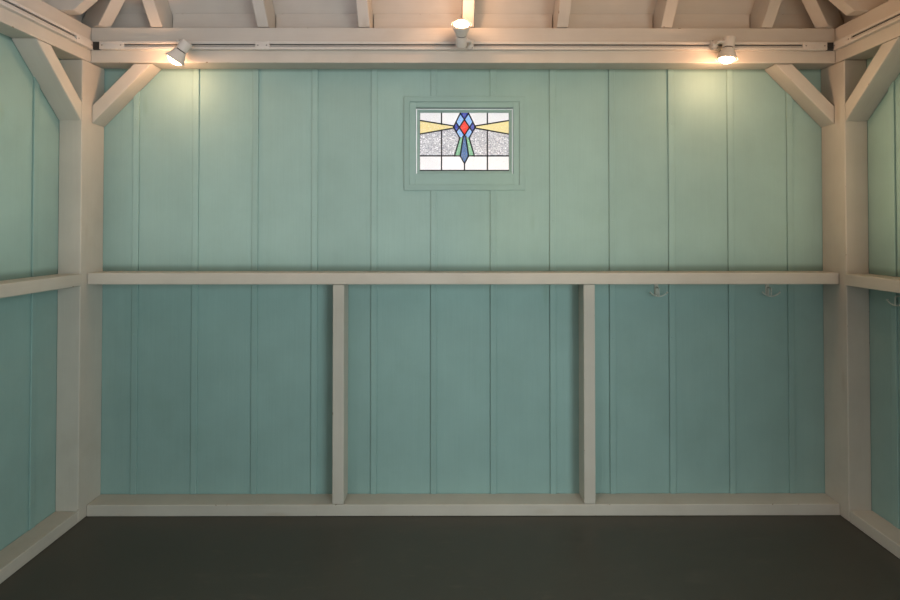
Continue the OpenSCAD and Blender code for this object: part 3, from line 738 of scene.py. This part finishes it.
form = bmesh.new()
for name, (out, reach, rafters) in slopes.items():
    along, up, normal = slope_frame(out, reach)
    eaves = Vector(out) * reach + Vector((0, 0, boards_z))
    length = (Vector((0, 0, apex_z)) - eaves).length
    joints = [eaves.dot(up) + first_joint + board_width * i for i in range(int(length / board_width))]
    rows = sawn_boards(parts_beside("roof_boards", out), up, joints, roof_gap)
    butts = random.Random(len(name))
    for part in loose_parts(rows):
        row = bmesh.new()
        corners = {}
        for face in part:
            for vert in face.verts:
                if vert not in corners:
                    corners[vert] = row.verts.new(vert.co)
            row.faces.new([corners[vert] for vert in face.verts])
        places = [vert.co.dot(along) for vert in row.verts]
        turn = along.x + along.y
        cuts = sorted(place * turn for place in butts.sample(rafters, 2))
        cuts = [cut for cut in cuts if min(places) + least_long < cut < max(places) - least_long]
        take_in(form, sawn_boards(row, along, cuts, butt_gap))
        row.free()
    rows.free()
piece("roof_boards_sawn", lay_grain(ease(form, 0.0012, 1), 70), white_timber, ["roof_boards"])

# The roof is covered with sawn cedar shingles of many widths. Each course laps the one below it,
# over a double first course. They have weathered from brown to grey and are cut along the hips.
courses, given = new_tree("courses", {
    "Places": 40, "Least": 0.085, "Most": 0.175, "Gap": 0.004, "Long": 0.200, "Butt": 0.0094,
    "Head": 0.0048, "Tilt": 0.0522, "Lift": 0.0110, "Shift": 0.003, "Rough": 0.0012, "Seed": 4})
start = given["Guides"]
numbered = start.node("GeometryNodeStoreNamedAttribute", data_type="INT", Geometry=start, Name="row",
                      Value=start.node("GeometryNodeInputIndex"))
spread = start.node("GeometryNodeDuplicateElements", domain="POINT", Geometry=numbered,
                    Amount=given["Places"])


def chance(wire, low, high, seed):
    return wire.node("FunctionNodeRandomValue", {2: low, 3: high}, 1, data_type="FLOAT", Seed=seed)


width = chance(start, given["Least"], given["Most"], given["Seed"])
before = start.node("GeometryNodeAccumulateField", out="Trailing", data_type="FLOAT", domain="POINT",
                    Value=width, Group_ID=stored(start, "row", "INT"))
named = start.node("GeometryNodeStoreNamedAttribute", data_type="FLOAT", Geometry=spread, Name="width",
                   Value=width)
shift = chance(start, given["Shift"] * -1.0, given["Shift"], given["Seed"] + 1.0)
place = start.vector(before + width / 2, shift, given["Lift"])
late = start.node("FunctionNodeCompare", {0: before, 1: stored(start, "length")}, data_type="FLOAT",
                  operation="GREATER_THAN")
moved = start.node("GeometryNodeSetPosition", Geometry=named, Offset=place)
kept = start.node("GeometryNodeDeleteGeometry", domain="POINT", Geometry=moved, Selection=late)
slab = start.node("GeometryNodeMeshCube", Size=(1, 1, 1), Vertices_X=4, Vertices_Y=3)
along, up, out = (start.node("GeometryNodeInputPosition").part(axis) for axis in range(3))
thick = given["Butt"] + (up + 0.5) * (given["Head"] - given["Butt"])
shaped = start.vector(along, (up + 0.5) * given["Long"], (out + 0.5) * thick)
shingle = start.node("GeometryNodeSetPosition", Geometry=slab, Position=shaped)
roll, skew = 0.004, 0.006
turn = start.vector(given["Tilt"] * -1.0, chance(start, -roll, roll, given["Seed"] + 2.0),
                    chance(start, -skew, skew, given["Seed"] + 3.0))
size = start.vector(stored(start, "width") - given["Gap"], 1.0, 1.0)
laid = instances(start, kept, shingle, turn, size)
close_tree(given, shaken(laid, 45.0, 2.0, (0.3, 1.0, 0.1), given["Rough"]))


def weathered_cedar(start):
    place, grain = start.place(), start.grain()
    shade = start.attribute("shade")
    fibres = grain.stretch(5, 160, 1).noise(1.0, 5.0, 0.65)
    fine = grain.stretch(14, 900, 1).noise(1.0, 2.0)
    weather = place.noise(1.2, 4.0)
    stain = grain.stretch(3, 22, 1).noise(1.0, 3.0).band(0.5, 0.75)
    lichen = place.noise(26, 5.0, 0.7).band(0.64, 0.74) * place.noise(2.0, 2.0).band(0.5, 0.65)
    grey = (0.25 + 0.6 * shade + 0.5 * (weather - 0.5)).mix((0.105, 0.078, 0.055), (0.205, 0.185, 0.16))
    light = 0.62 + 0.5 * fibres + 0.3 * (fine - 0.5) + 0.3 * (shade - 0.5)
    worn = (0.4 * stain).mix(light.tint(grey), (0.045, 0.035, 0.028))
    return look((0.6 * lichen).mix(worn, (0.17, 0.19, 0.12)), 0.78 + 0.15 * fibres,
                0.0008 * fibres + 0.0003 * fine)


shingle_cedar = finish("shingle", weathered_cedar)
eaves_ratio, gauge, cover_t, hip_margin = 1.845 / 1.770, 0.125, 0.0227, 0.002
form = bmesh.new()
for seed, (out, reach, _) in enumerate(slopes.values(), 1):
    along, up, normal = slope_frame(out, reach)
    side_reach = wall_y if reach == wall_x else wall_x
    down = Vector(out) * reach + Vector((0, 0, boards_z - apex_z))
    origin = (Vector((0, 0, apex_z)) + down * eaves_ratio + normal * board_t
              - up * (board_t + cover_t) * down.z / reach)
    rise = (down * eaves_ratio).length
    guides = []
    draw = random.Random(seed)
    for i in range(int(rise / gauge) + 1):
        half = side_reach * eaves_ratio * (1 - i * gauge / rise) + 0.02
        first = -half - draw.uniform(0.0, 0.12)
        guides.append(((first, i * gauge, 0), (0, 0, 0), half - first))
    laid = grown(courses, guides, shingle_cedar, {"Seed": 10 * seed})
    half = side_reach * eaves_ratio + 0.02
    under = grown(courses, [((-half - 0.05, 0, 0), (0, 0, 0), 2 * half)], shingle_cedar,
                  {"Seed": 10 * seed + 5, "Tilt": 0.0, "Lift": 0.0006})
    take_in(laid, under)
    frame_of_slope = Matrix((along, up, normal)).transposed().to_4x4()
    frame_of_slope.translation = origin
    bmesh.ops.transform(laid, matrix=frame_of_slope, verts=laid.verts)
    for hand in (-1, 1):
        beyond = (along * hand - Vector(out) * side_reach / reach).normalized()
        cut_away(laid, -beyond * hip_margin, beyond)
    take_in(form, laid)
piece("roof_shingles_laid", lay_grain(form, 80), shingle_cedar, ["roof_shingles"])

# Cedar boards cap the hips, two to a hip, and four small ones close the apex over their ends.
timbers(("hip_caps", "apex_cap"), "_laid", shingle_cedar, seed=81, width=0.002)

# Outdoors, off-white boards cover the corners and the rafters' ends, and a turquoise one closes
# the front over the opening. All are nailed through their faces, in pairs.
timbers(("corner_boards", "eaves_fascia"), "_nailed", white_timber, seed=90, width=0.002)
timbers(["front_head_board"], "_nailed", turquoise, seed=92, width=0.002)

# Three lengths of lighting track are screwed to the plates. They are drawn aluminium with a white
# powder coat, with a moulded feed at each end, and a joiner where the back one is in two lengths.
# Dark plastic lines the slot's conductors, and dark blocks fill the gaps between the back track's outer ends
# and the plates.
track_z, slot_floor = 2.185, 0.008
track_outline = [(0, -0.0175), (0.019, -0.0175), (0.020, -0.0165), (0.020, -0.0124), (0.0194, -0.0120),
                 (0.0194, -0.0114), (0.020, -0.0110), (0.020, -0.0070), (0.0195, -0.0065),
                 (slot_floor, -0.0065), (slot_floor, -0.0018), (0.0120, -0.0018)]
track_outline += [(depth, -high) for depth, high in reversed(track_outline)]
feed_length, joiner_length, joiner_x = 0.106, 0.062, -0.885
back_length, side_length = 3.198, 2.100
track_places = ((back_length, shifted((0, timber_y - 0.100, track_z))),
                (side_length, shifted((1.650, 0, track_z), -quarter)),
                (side_length, shifted((-1.650, 0, track_z), quarter)))


def powder_coat(start):
    place = start.place()
    peel = place.noise(700, 2.0)
    grime = place.noise(18, 5.0, 0.65).band(0.5, 0.85)
    chips = start.attribute("arris") * place.noise(130, 3.0).band(0.60, 0.64)
    coat = (0.3 * grime).mix((0.62, 0.585, 0.52), (0.36, 0.30, 0.22))
    coat = start.attribute("lined").mix(coat, (0.16, 0.13, 0.10))
    return look(chips.mix(coat, (0.30, 0.29, 0.28)), 0.34 + 0.25 * grime, 0.00005 * peel)


white_metal = finish("white_metal", powder_coat)


def drawn_in(form, outline, low_x, high_x, matrix):
    """Adds a drawn bar along X, with an outline of depths into the room and heights."""
    skin(form, [[form.verts.new(matrix @ Vector((x, -depth, high))) for depth, high in outline]
                for x in (low_x, high_x)])


def eased_box(low, high, matrix, width, cuts=2):
    """A box with rounded edges, in a mesh of its own."""
    form = bmesh.new()
    box_in(form, low, high)
    bmesh.ops.transform(form, matrix=matrix, verts=form.verts)
    return ease(form, width, cuts)


def turned_in(form, profile, matrix, steps=48):
    """Adds a turned shape about Z. Its profile is of radii and heights; radius 0 makes a pole."""
    rings = []
    for radius, high in profile:
        if radius == 0:
            rings.append([form.verts.new(matrix @ Vector((0, 0, high)))] * steps)
        else:
            rings.append([form.verts.new(matrix @ Vector((radius * math.cos(a), radius * math.sin(a), high)))
                          for a in (math.tau * i / steps for i in range(steps))])
    skin(form, rings, closed=False)


def screw(matrix, radius):
    """A slotted round head, with its middle on the surface that it is driven into."""
    dome = [(0, 0.55), (0.5, 0.48), (0.85, 0.3), (1.0, 0.05), (1.0, -0.3), (0, -0.3)]
    whole_head = bmesh.new()
    turned_in(whole_head, [(radius * r, radius * h) for r, h in dome], Matrix(), 16)
    halves = [whole_head.copy(), whole_head.copy()]
    whole_head.free()
    for half, side in zip(halves, (-1, 1)):
        cut_away(half, Vector((0, side * radius * 0.12, 0)), Vector((0, -side, 0)))
    floor = bmesh.new()
    turned_in(floor, [(0, radius * 0.18), (radius * 0.97, radius * 0.1), (radius * 0.97, -radius * 0.3),
                      (0, -radius * 0.3)], Matrix(), 16)
    head = bmesh.new()
    take_in(head, floor, *halves)
    bmesh.ops.transform(head, matrix=matrix, verts=head.verts)
    return head


form, screws = bmesh.new(), bmesh.new()
half_h, sleeve_depth = 0.0185, 0.021
facing = Matrix.Rotation(quarter, 4, "X")
for length, matrix in track_places:
    drawn_in(form, track_outline, feed_length - length / 2 - 0.01, length / 2 - feed_length + 0.01, matrix)
    sleeves = [(side * (length - feed_length) / 2, feed_length) for side in (-1, 1)]
    if length == back_length:
        sleeves.append((joiner_x, joiner_length))
    for middle, long in sleeves:
        take_in(form, eased_box((middle - long / 2, -sleeve_depth, -half_h), (middle + long / 2, 0, half_h),
                                matrix, 0.0022, 3))
        for step in (-1, 1):
            at = shifted((middle + step * (long / 2 - 0.012), -sleeve_depth, 0))
            take_in(screws, screw(matrix @ at @ facing, 0.0032))
piece("light_tracks_drawn", form, white_metal, ["light_tracks"], smooth=True)


def black_plastic(start):
    return look(start.place().noise(40, 3.0).mix((0.012, 0.012, 0.013), (0.035, 0.032, 0.03)),
                0.45 + 0.2 * start.place().noise(90, 2.0))


neck_plastic = finish("neck_plastic", black_plastic)
liner_low, liner_high, liner_front, liner_back = 0.0021, 0.0062, 0.0112, slot_floor - 0.0005
form = bmesh.new()
for length, matrix in track_places:
    half = length / 2 - feed_length
    for low_z, high_z in ((-liner_high, -liner_low), (liner_low, liner_high)):
        take_in(form, eased_box((-half, -liner_front, low_z), (half, -liner_back, high_z),
                                matrix, 0.0004, 1))
# Dark blocks in the gaps between the back track's outer ends and the plates.
end_block_gap, end_block_long, end_block_half = 0.0002, 0.040, 0.0165
near, far = back_length / 2 + end_block_gap, back_length / 2 + end_block_long
for low_x, high_x in ((-far, -near), (near, far)):
    take_in(form, eased_box((low_x, -end_block_half, -end_block_half), (high_x, -end_block_gap, end_block_half),
                            track_places[0][1], 0.002, 3))
piece("track_liners", form, neck_plastic, [], "white_metal")


def dulled_zinc(start):
    place = start.place()
    spots = place.noise(240, 3.0).band(0.55, 0.7)
    return look(spots.mix((0.30, 0.28, 0.25), (0.10, 0.06, 0.035)), 0.35 + 0.4 * spots, 0.0001 * spots)


zinc = finish("zinc", dulled_zinc, Metallic=0.9)

# Each spotlight hangs on an adapter that clips into the slot. A disc turns on the adapter and
# carries a bent arm, and the lamp body tilts on the arm's end in a round knuckle. The bell of the
# body is darker inside, and a domed reflector bulb glows in it.
spots = {"left": (-1.230, 35, 0), "middle": (0.027, 180, 45), "right": (1.096, 8, 0)}
spot_y = timber_y - 0.120
adapter_half_w, adapter_half_h, adapter_depth = 0.015, 0.0205, 0.016
reach, offset, arm_r = 0.056, 0.040, 0.0065
form = bmesh.new()
for x, _, _ in spots.values():
    at = shifted((x, spot_y, track_z))
    take_in(form,
            eased_box((-adapter_half_w, -0.011, -adapter_half_h), (adapter_half_w, 0, adapter_half_h),
                      at, 0.0015),
            eased_box((-0.0135, -adapter_depth, -0.019), (0.0135, -0.0112, 0.019), at, 0.0022, 3),
            eased_box((-adapter_half_w, 0.0, -0.0062), (adapter_half_w, 0.0115, 0.0062), at, 0.0008))
    for dx, dz in ((0.0095, -0.0155), (-0.0095, 0.0155)):
        take_in(screws, screw(at @ shifted((dx, -adapter_depth, dz)) @ facing, 0.0024))
piece("track_adapters_moulded", form, white_metal, ["track_adapters"], smooth=True)
piece("track_screws", screws, zinc, [], "white_metal", smooth=True)


def tube_in(form, path, radius, sides=20):
    """Adds a round bar along a path, with closed ends."""
    path = [Vector(point) for point in path]
    steps = [(b - a).normalized() for a, b in zip(path, path[1:])]
    normal = steps[0].orthogonal().normalized()
    rings = []
    for i, point in enumerate(path):
        axis = (steps[max(i - 1, 0)] + steps[min(i, len(steps) - 1)]).normalized()
        normal = (normal - axis * normal.dot(axis)).normalized()
        second = axis.cross(normal)
        rings.append([form.verts.new(point + (normal * math.cos(a) + second * math.sin(a)) * radius)
                      for a in (math.tau * k / sides for k in range(sides))])
    skin(form, rings)


def close_up(form):
    """Joins turned surfaces where they meet."""
    bmesh.ops.remove_doubles(form, verts=form.verts, dist=1e-6)
    bmesh.ops.recalc_face_normals(form, faces=form.faces)


def frosted_bulb(start):
    """The bulb's face glows, and its reflector is silvered inside. The glow is 1 on the face."""
    glow = start.attribute("glow")
    place = start.place()
    return look(glow.mix((0.45, 0.44, 0.43), (0.95, 0.90, 0.82)), 0.25 + 0.2 * place.noise(60, 3.0),
                Emission_Color=glow.mix((0.0, 0.0, 0.0), (1.0, 0.60, 0.34)))


lit_bulb = finish("lit_bulb", frosted_bulb, Emission_Strength=22.0)
disc_low, disc_high, disc_r = 0.0163, 0.0233, 0.013
barrel_r, barrel_half, neck_r, bell_top, bell_rim = 0.024, 0.0225, 0.019, 0.0265, 0.0725
bell_r, sheet, bulb_r, bulb_proud = 0.043, 0.002, 0.033, 0.018
glows, glow_ahead = {}, 0.03
sideways = Matrix.Rotation(-quarter, 4, "Y")
for name, (x, turn, tilt) in spots.items():
    at = shifted((x, spot_y, track_z), math.radians(turn), "Y")

    form = bmesh.new()
    disc = [(0, disc_low), (disc_r - 0.001, disc_low), (disc_r, disc_low + 0.001),
            (disc_r, disc_high - 0.002), (disc_r - 0.002, disc_high), (arm_r + 0.003, disc_high + 0.0008),
            (arm_r, disc_high + 0.003), (0, disc_high + 0.003)]
    turned_in(form, disc, at @ facing)
    bend = 0.010
    path = [(0, -disc_high, 0), (0, bend - reach, 0)]
    path += [(bend * (1 - math.cos(a)), bend - reach - bend * math.sin(a), 0)
             for a in (quarter * i / 8 for i in range(1, 9))]
    path += [(offset - barrel_r, -reach, 0)]
    tube_in(form, [at @ Vector(point) for point in path], arm_r)
    piece("spot_arm_%s_cast" % name, form, white_metal, ["spot_arm_" + name], None,
          "spot_arm_" + name, True)

    lamp = at @ shifted((offset, -reach, 0), -math.radians(tilt), "X")
    glows[name] = lamp @ Vector((0, 0, -bell_rim - bulb_proud - glow_ahead))
    form = bmesh.new()
    lid = ((0, 0), (0.0150, 0), (0.0155, 0.001), (0.0165, 0.001), (0.0170, 0), (0.0215, 0.0004),
           (0.0234, 0.0018), (barrel_r, 0.004))
    barrel = [(r, barrel_half - low) for r, low in lid]
    barrel += [(barrel_r, -0.008), (0.0235, -0.0086), (0.0235, -0.0094), (barrel_r, -0.010),
               (barrel_r, 0.0012 - barrel_half), (barrel_r - 0.0012, -barrel_half), (0, -barrel_half)]
    turned_in(form, barrel, lamp, 64)
    bell_out = [(barrel_r - 0.001, -bell_top), (barrel_r, -bell_top - 0.0008)]
    bell_out += [(barrel_r + (bell_r - 0.0008 - barrel_r) * down ** 1.15,
                  -bell_top - (bell_rim - bell_top) * down) for down in (i / 9 for i in range(1, 9))]
    bell_out += [(bell_r - 0.0004, 0.0024 - bell_rim), (bell_r, 0.0012 - bell_rim),
                 (bell_r - 0.0006, -bell_rim), (bell_r - 0.0020, 0.0004 - bell_rim)]
    turned_in(form, bell_out, lamp, 64)
    rim = len(form.faces)
    bell_in = [bell_out[-1]] + [(r - sheet, z) for r, z in bell_out[9:2:-1]]
    turned_in(form, bell_in + [(barrel_r - sheet, -bell_top - sheet), (0, -bell_top - sheet)], lamp, 64)
    lined = form.faces.layers.float.new("lined")
    form.faces.ensure_lookup_table()
    for inner in form.faces[rim:]:
        inner[lined] = 1.0
    turned_in(form, [(barrel_r - 0.001, -bell_top), (0, -bell_top)], lamp, 64)
    knuckle = [(0.0068, barrel_r), (0.0068, barrel_r + 0.004), (0.0090, barrel_r + 0.004),
               (0.0100, barrel_r + 0.003), (0.0100, barrel_r - 0.004), (0.0068, barrel_r - 0.004)]
    turned_in(form, knuckle, lamp @ sideways, 32)
    close_up(form)
    piece("spot_head_%s_spun" % name, form, white_metal, ["spot_head_" + name], None,
          "spot_head_" + name, True)

    form = bmesh.new()
    neck = [(0, -barrel_half + 0.0005), (neck_r, -barrel_half + 0.0005), (neck_r + 0.0008, -0.024),
            (neck_r, -bell_top - 0.0005), (0, -bell_top - 0.0005)]
    turned_in(form, neck, lamp, 48)
    piece("spot_neck_" + name, form, neck_plastic, [], "white_metal", "spot_head_" + name, smooth=True)

    form = bmesh.new()
    glow = form.faces.layers.float.new("glow")
    face_r = (bulb_r ** 2 + bulb_proud ** 2) / (2 * bulb_proud)
    face = [(face_r * math.sin(a), -bell_rim - bulb_proud + face_r * (1 - math.cos(a)))
            for a in (math.asin(bulb_r / face_r) * i / 8 for i in range(9))]
    face[0] = (0, -bell_rim - bulb_proud)
    turned_in(form, face, lamp, 48)
    for lit in form.faces:
        lit[glow] = 1.0
    back = [face[-1], (bulb_r, 0.002 - bell_rim), (0.033, 0.006 - bell_rim), (0.027, 0.018 - bell_rim),
            (0.0185, 0.034 - bell_rim), (0.018, -bell_top - sheet - 0.0002), (0, -bell_top - sheet - 0.0002)]
    turned_in(form, back, lamp, 48)
    close_up(form)
    piece("spot_bulb_%s_blown" % name, form, lit_bulb, ["spot_bulb_" + name], None,
          "spot_head_" + name, True)

# Double coat hooks hang under the rail. Each is a bent rod with balls on its two tips, on a small
# plate with two screws, and was painted over with the room.
hook_reach, hook_drop, hook_half, hook_rise, rod_r = 0.032, 0.064, 0.038, 0.017, 0.003
hooks = [shifted((x, timber_y, rail_low)) for x in (0.885, 1.395)]
hooks.append(shifted((timber_x, timber_y - 0.320, rail_low), -quarter))


def thick_paint(start):
    place = start.place()
    chips = place.noise(170, 4.0, 0.6).band(0.62, 0.66)
    return look(chips.mix((0.50, 0.53, 0.47), (0.20, 0.12, 0.07)),
                0.38 + 0.35 * chips + 0.1 * place.noise(60, 2.0),
                0.0004 * place.noise(90, 2.0) - 0.0003 * chips)


hook_paint = finish("hook_paint", thick_paint)
form = bmesh.new()
bottom = rod_r - hook_drop
arc_r = (hook_half ** 2 + hook_rise ** 2) / (2 * hook_rise)
arc = math.asin(hook_half / arc_r)
knee, bend = -0.024, 0.008
for at in hooks:
    take_in(form, eased_box((-0.009, -0.003, bottom), (0.009, 0, -0.006), at, 0.0012, 3))
    for high in (bottom + 0.007, -0.013):
        take_in(form, screw(at @ shifted((0, -0.003, high)) @ facing, 0.0026))
    path = [(0, -0.001, knee), (0, bend - hook_reach, knee)]
    path += [(0, bend - hook_reach - bend * math.sin(a), knee - bend * (1 - math.cos(a)))
             for a in (quarter * i / 6 for i in range(1, 7))]
    path += [(0, -hook_reach, bottom)]
    tube_in(form, [at @ Vector(point) for point in path], rod_r, 12)
    swing = [(arc_r * math.sin(a), -hook_reach, bottom + arc_r * (1 - math.cos(a)))
             for a in (arc * (i / 10 - 1) for i in range(21))]
    tube_in(form, [at @ Vector(point) for point in swing], rod_r, 12)
    for tip in (swing[0], swing[-1]):
        bmesh.ops.create_uvsphere(form, u_segments=16, v_segments=10, radius=1.5 * rod_r,
                                  matrix=at @ shifted(tip))
piece("coat_hooks_bent", form, hook_paint, ["coat_hooks"], smooth=True)

# The hut stands on a plain pale floor under soft lamps. Light comes in by the open front, and from
# lamps inside that the camera doesn't see. A small one at each bulb makes the pool on the wall.
ground = bpy.data.objects.new("studio_floor", bpy.data.meshes.new("studio_floor"))
ground.data.from_pydata([(-40, -40, 0), (40, -40, 0), (40, 40, 0), (-40, 40, 0)], [], [(0, 1, 2, 3)])
scene.collection.objects.link(ground)


def pale_floor(start):
    cloud = start.place().noise(0.4, 3.0)
    return look(cloud.mix((0.78, 0.78, 0.78), (0.82, 0.82, 0.82)))


ground.data.materials.append(finish("studio_floor", pale_floor, Roughness=0.8))

scene.world = bpy.data.worlds.new("studio")
scene.world.use_nodes = True
sky = Wire(scene.world.node_tree)
ambient, backdrop = (sky.node("ShaderNodeBackground", Color=(1.0, 1.0, 1.0, 1.0), Strength=strength)
                     for strength in (0.3, 1.0))
seen = [sky.node("ShaderNodeLightPath", out=ray)
        for ray in ("Is Camera Ray", "Is Glossy Ray", "Is Transmission Ray")]
shown = sky.sum("MAXIMUM", sky.sum("MAXIMUM", seen[0], seen[1]), seen[2])
mixed = sky.node("ShaderNodeMixShader", {0: shown, 1: ambient, 2: backdrop})
scene.world.node_tree.links.new(mixed.socket, scene.world.node_tree.nodes["World Output"].inputs["Surface"])

lamps = {"front_light": ((2.2, -3.5, 1.6), (1.5, 2.4), (90, 0, 35), 104, (0.82, 0.97, 1.0), 180),
         "wall_light_left": ((-0.80, -1.18, 1.66), (1.64, 0.92), (90, 0, 0), 1.8, (1.0, 0.75, 0.66), 10),
         "wall_light_right": ((0.87, -1.18, 1.66), (1.66, 0.92), (90, 0, 0), 2.2, (1.0, 0.70, 0.48), 10),
         "side_light_left": ((-0.4, 0.55, 1.66), (0.85, 0.75), (90, 0, 90), 0.6, (1.0, 0.80, 0.62), 25),
         "side_light_right": ((0.4, 0.55, 1.66), (0.85, 0.75), (90, 0, -90), 1.3, (1.0, 0.72, 0.45), 25),
         "roof_light_left": ((-0.75, 0, 2.0), (1.3, 0.9), (180, 0, 0), 9.4, (0.88, 0.80, 1.0), 180),
         "roof_light_right": ((0.75, 0, 2.0), (1.3, 0.9), (180, 0, 0), 10.0, (1.0, 0.46, 0.16), 180),
         "key_light": ((-4.5, -5.5, 5.5), (3.5, 3.5), (48, 0, -39), 260, (1.0, 0.98, 0.95), 180),
         "back_light": ((4.5, 6.0, 5.0), (3.5, 3.5), (-52, 0, -37), 260, (0.97, 0.98, 1.0), 180)}


def hang_lamp(name, light, place, power, colour):
    """Hangs up a lamp that lights the scene and isn't seen itself."""
    light.energy, light.color = power, colour
    lamp = bpy.data.objects.new(name, light)
    lamp.location = place
    lamp.visible_camera = lamp.visible_glossy = False
    scene.collection.objects.link(lamp)
    return lamp


for name, (place, (size_x, size_y), turn, power, colour, spread) in lamps.items():
    light = bpy.data.lights.new(name, "AREA")
    light.shape, light.size, light.size_y = "RECTANGLE", size_x, size_y
    light.spread = math.radians(spread)
    lamp = hang_lamp(name, light, place, power, colour)
    lamp.rotation_euler = Euler([math.radians(angle) for angle in turn])
glow_power, glow_size = 2.1, 0.02
for name, place in glows.items():
    light = bpy.data.lights.new("glow_" + name, "POINT")
    light.shadow_soft_size = glow_size
    lamp = hang_lamp("glow_" + name, light, place, glow_power, (1.0, 0.55, 0.32))
    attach(lamp, "spot_head_" + name)

scene.view_settings.view_transform = "Standard"
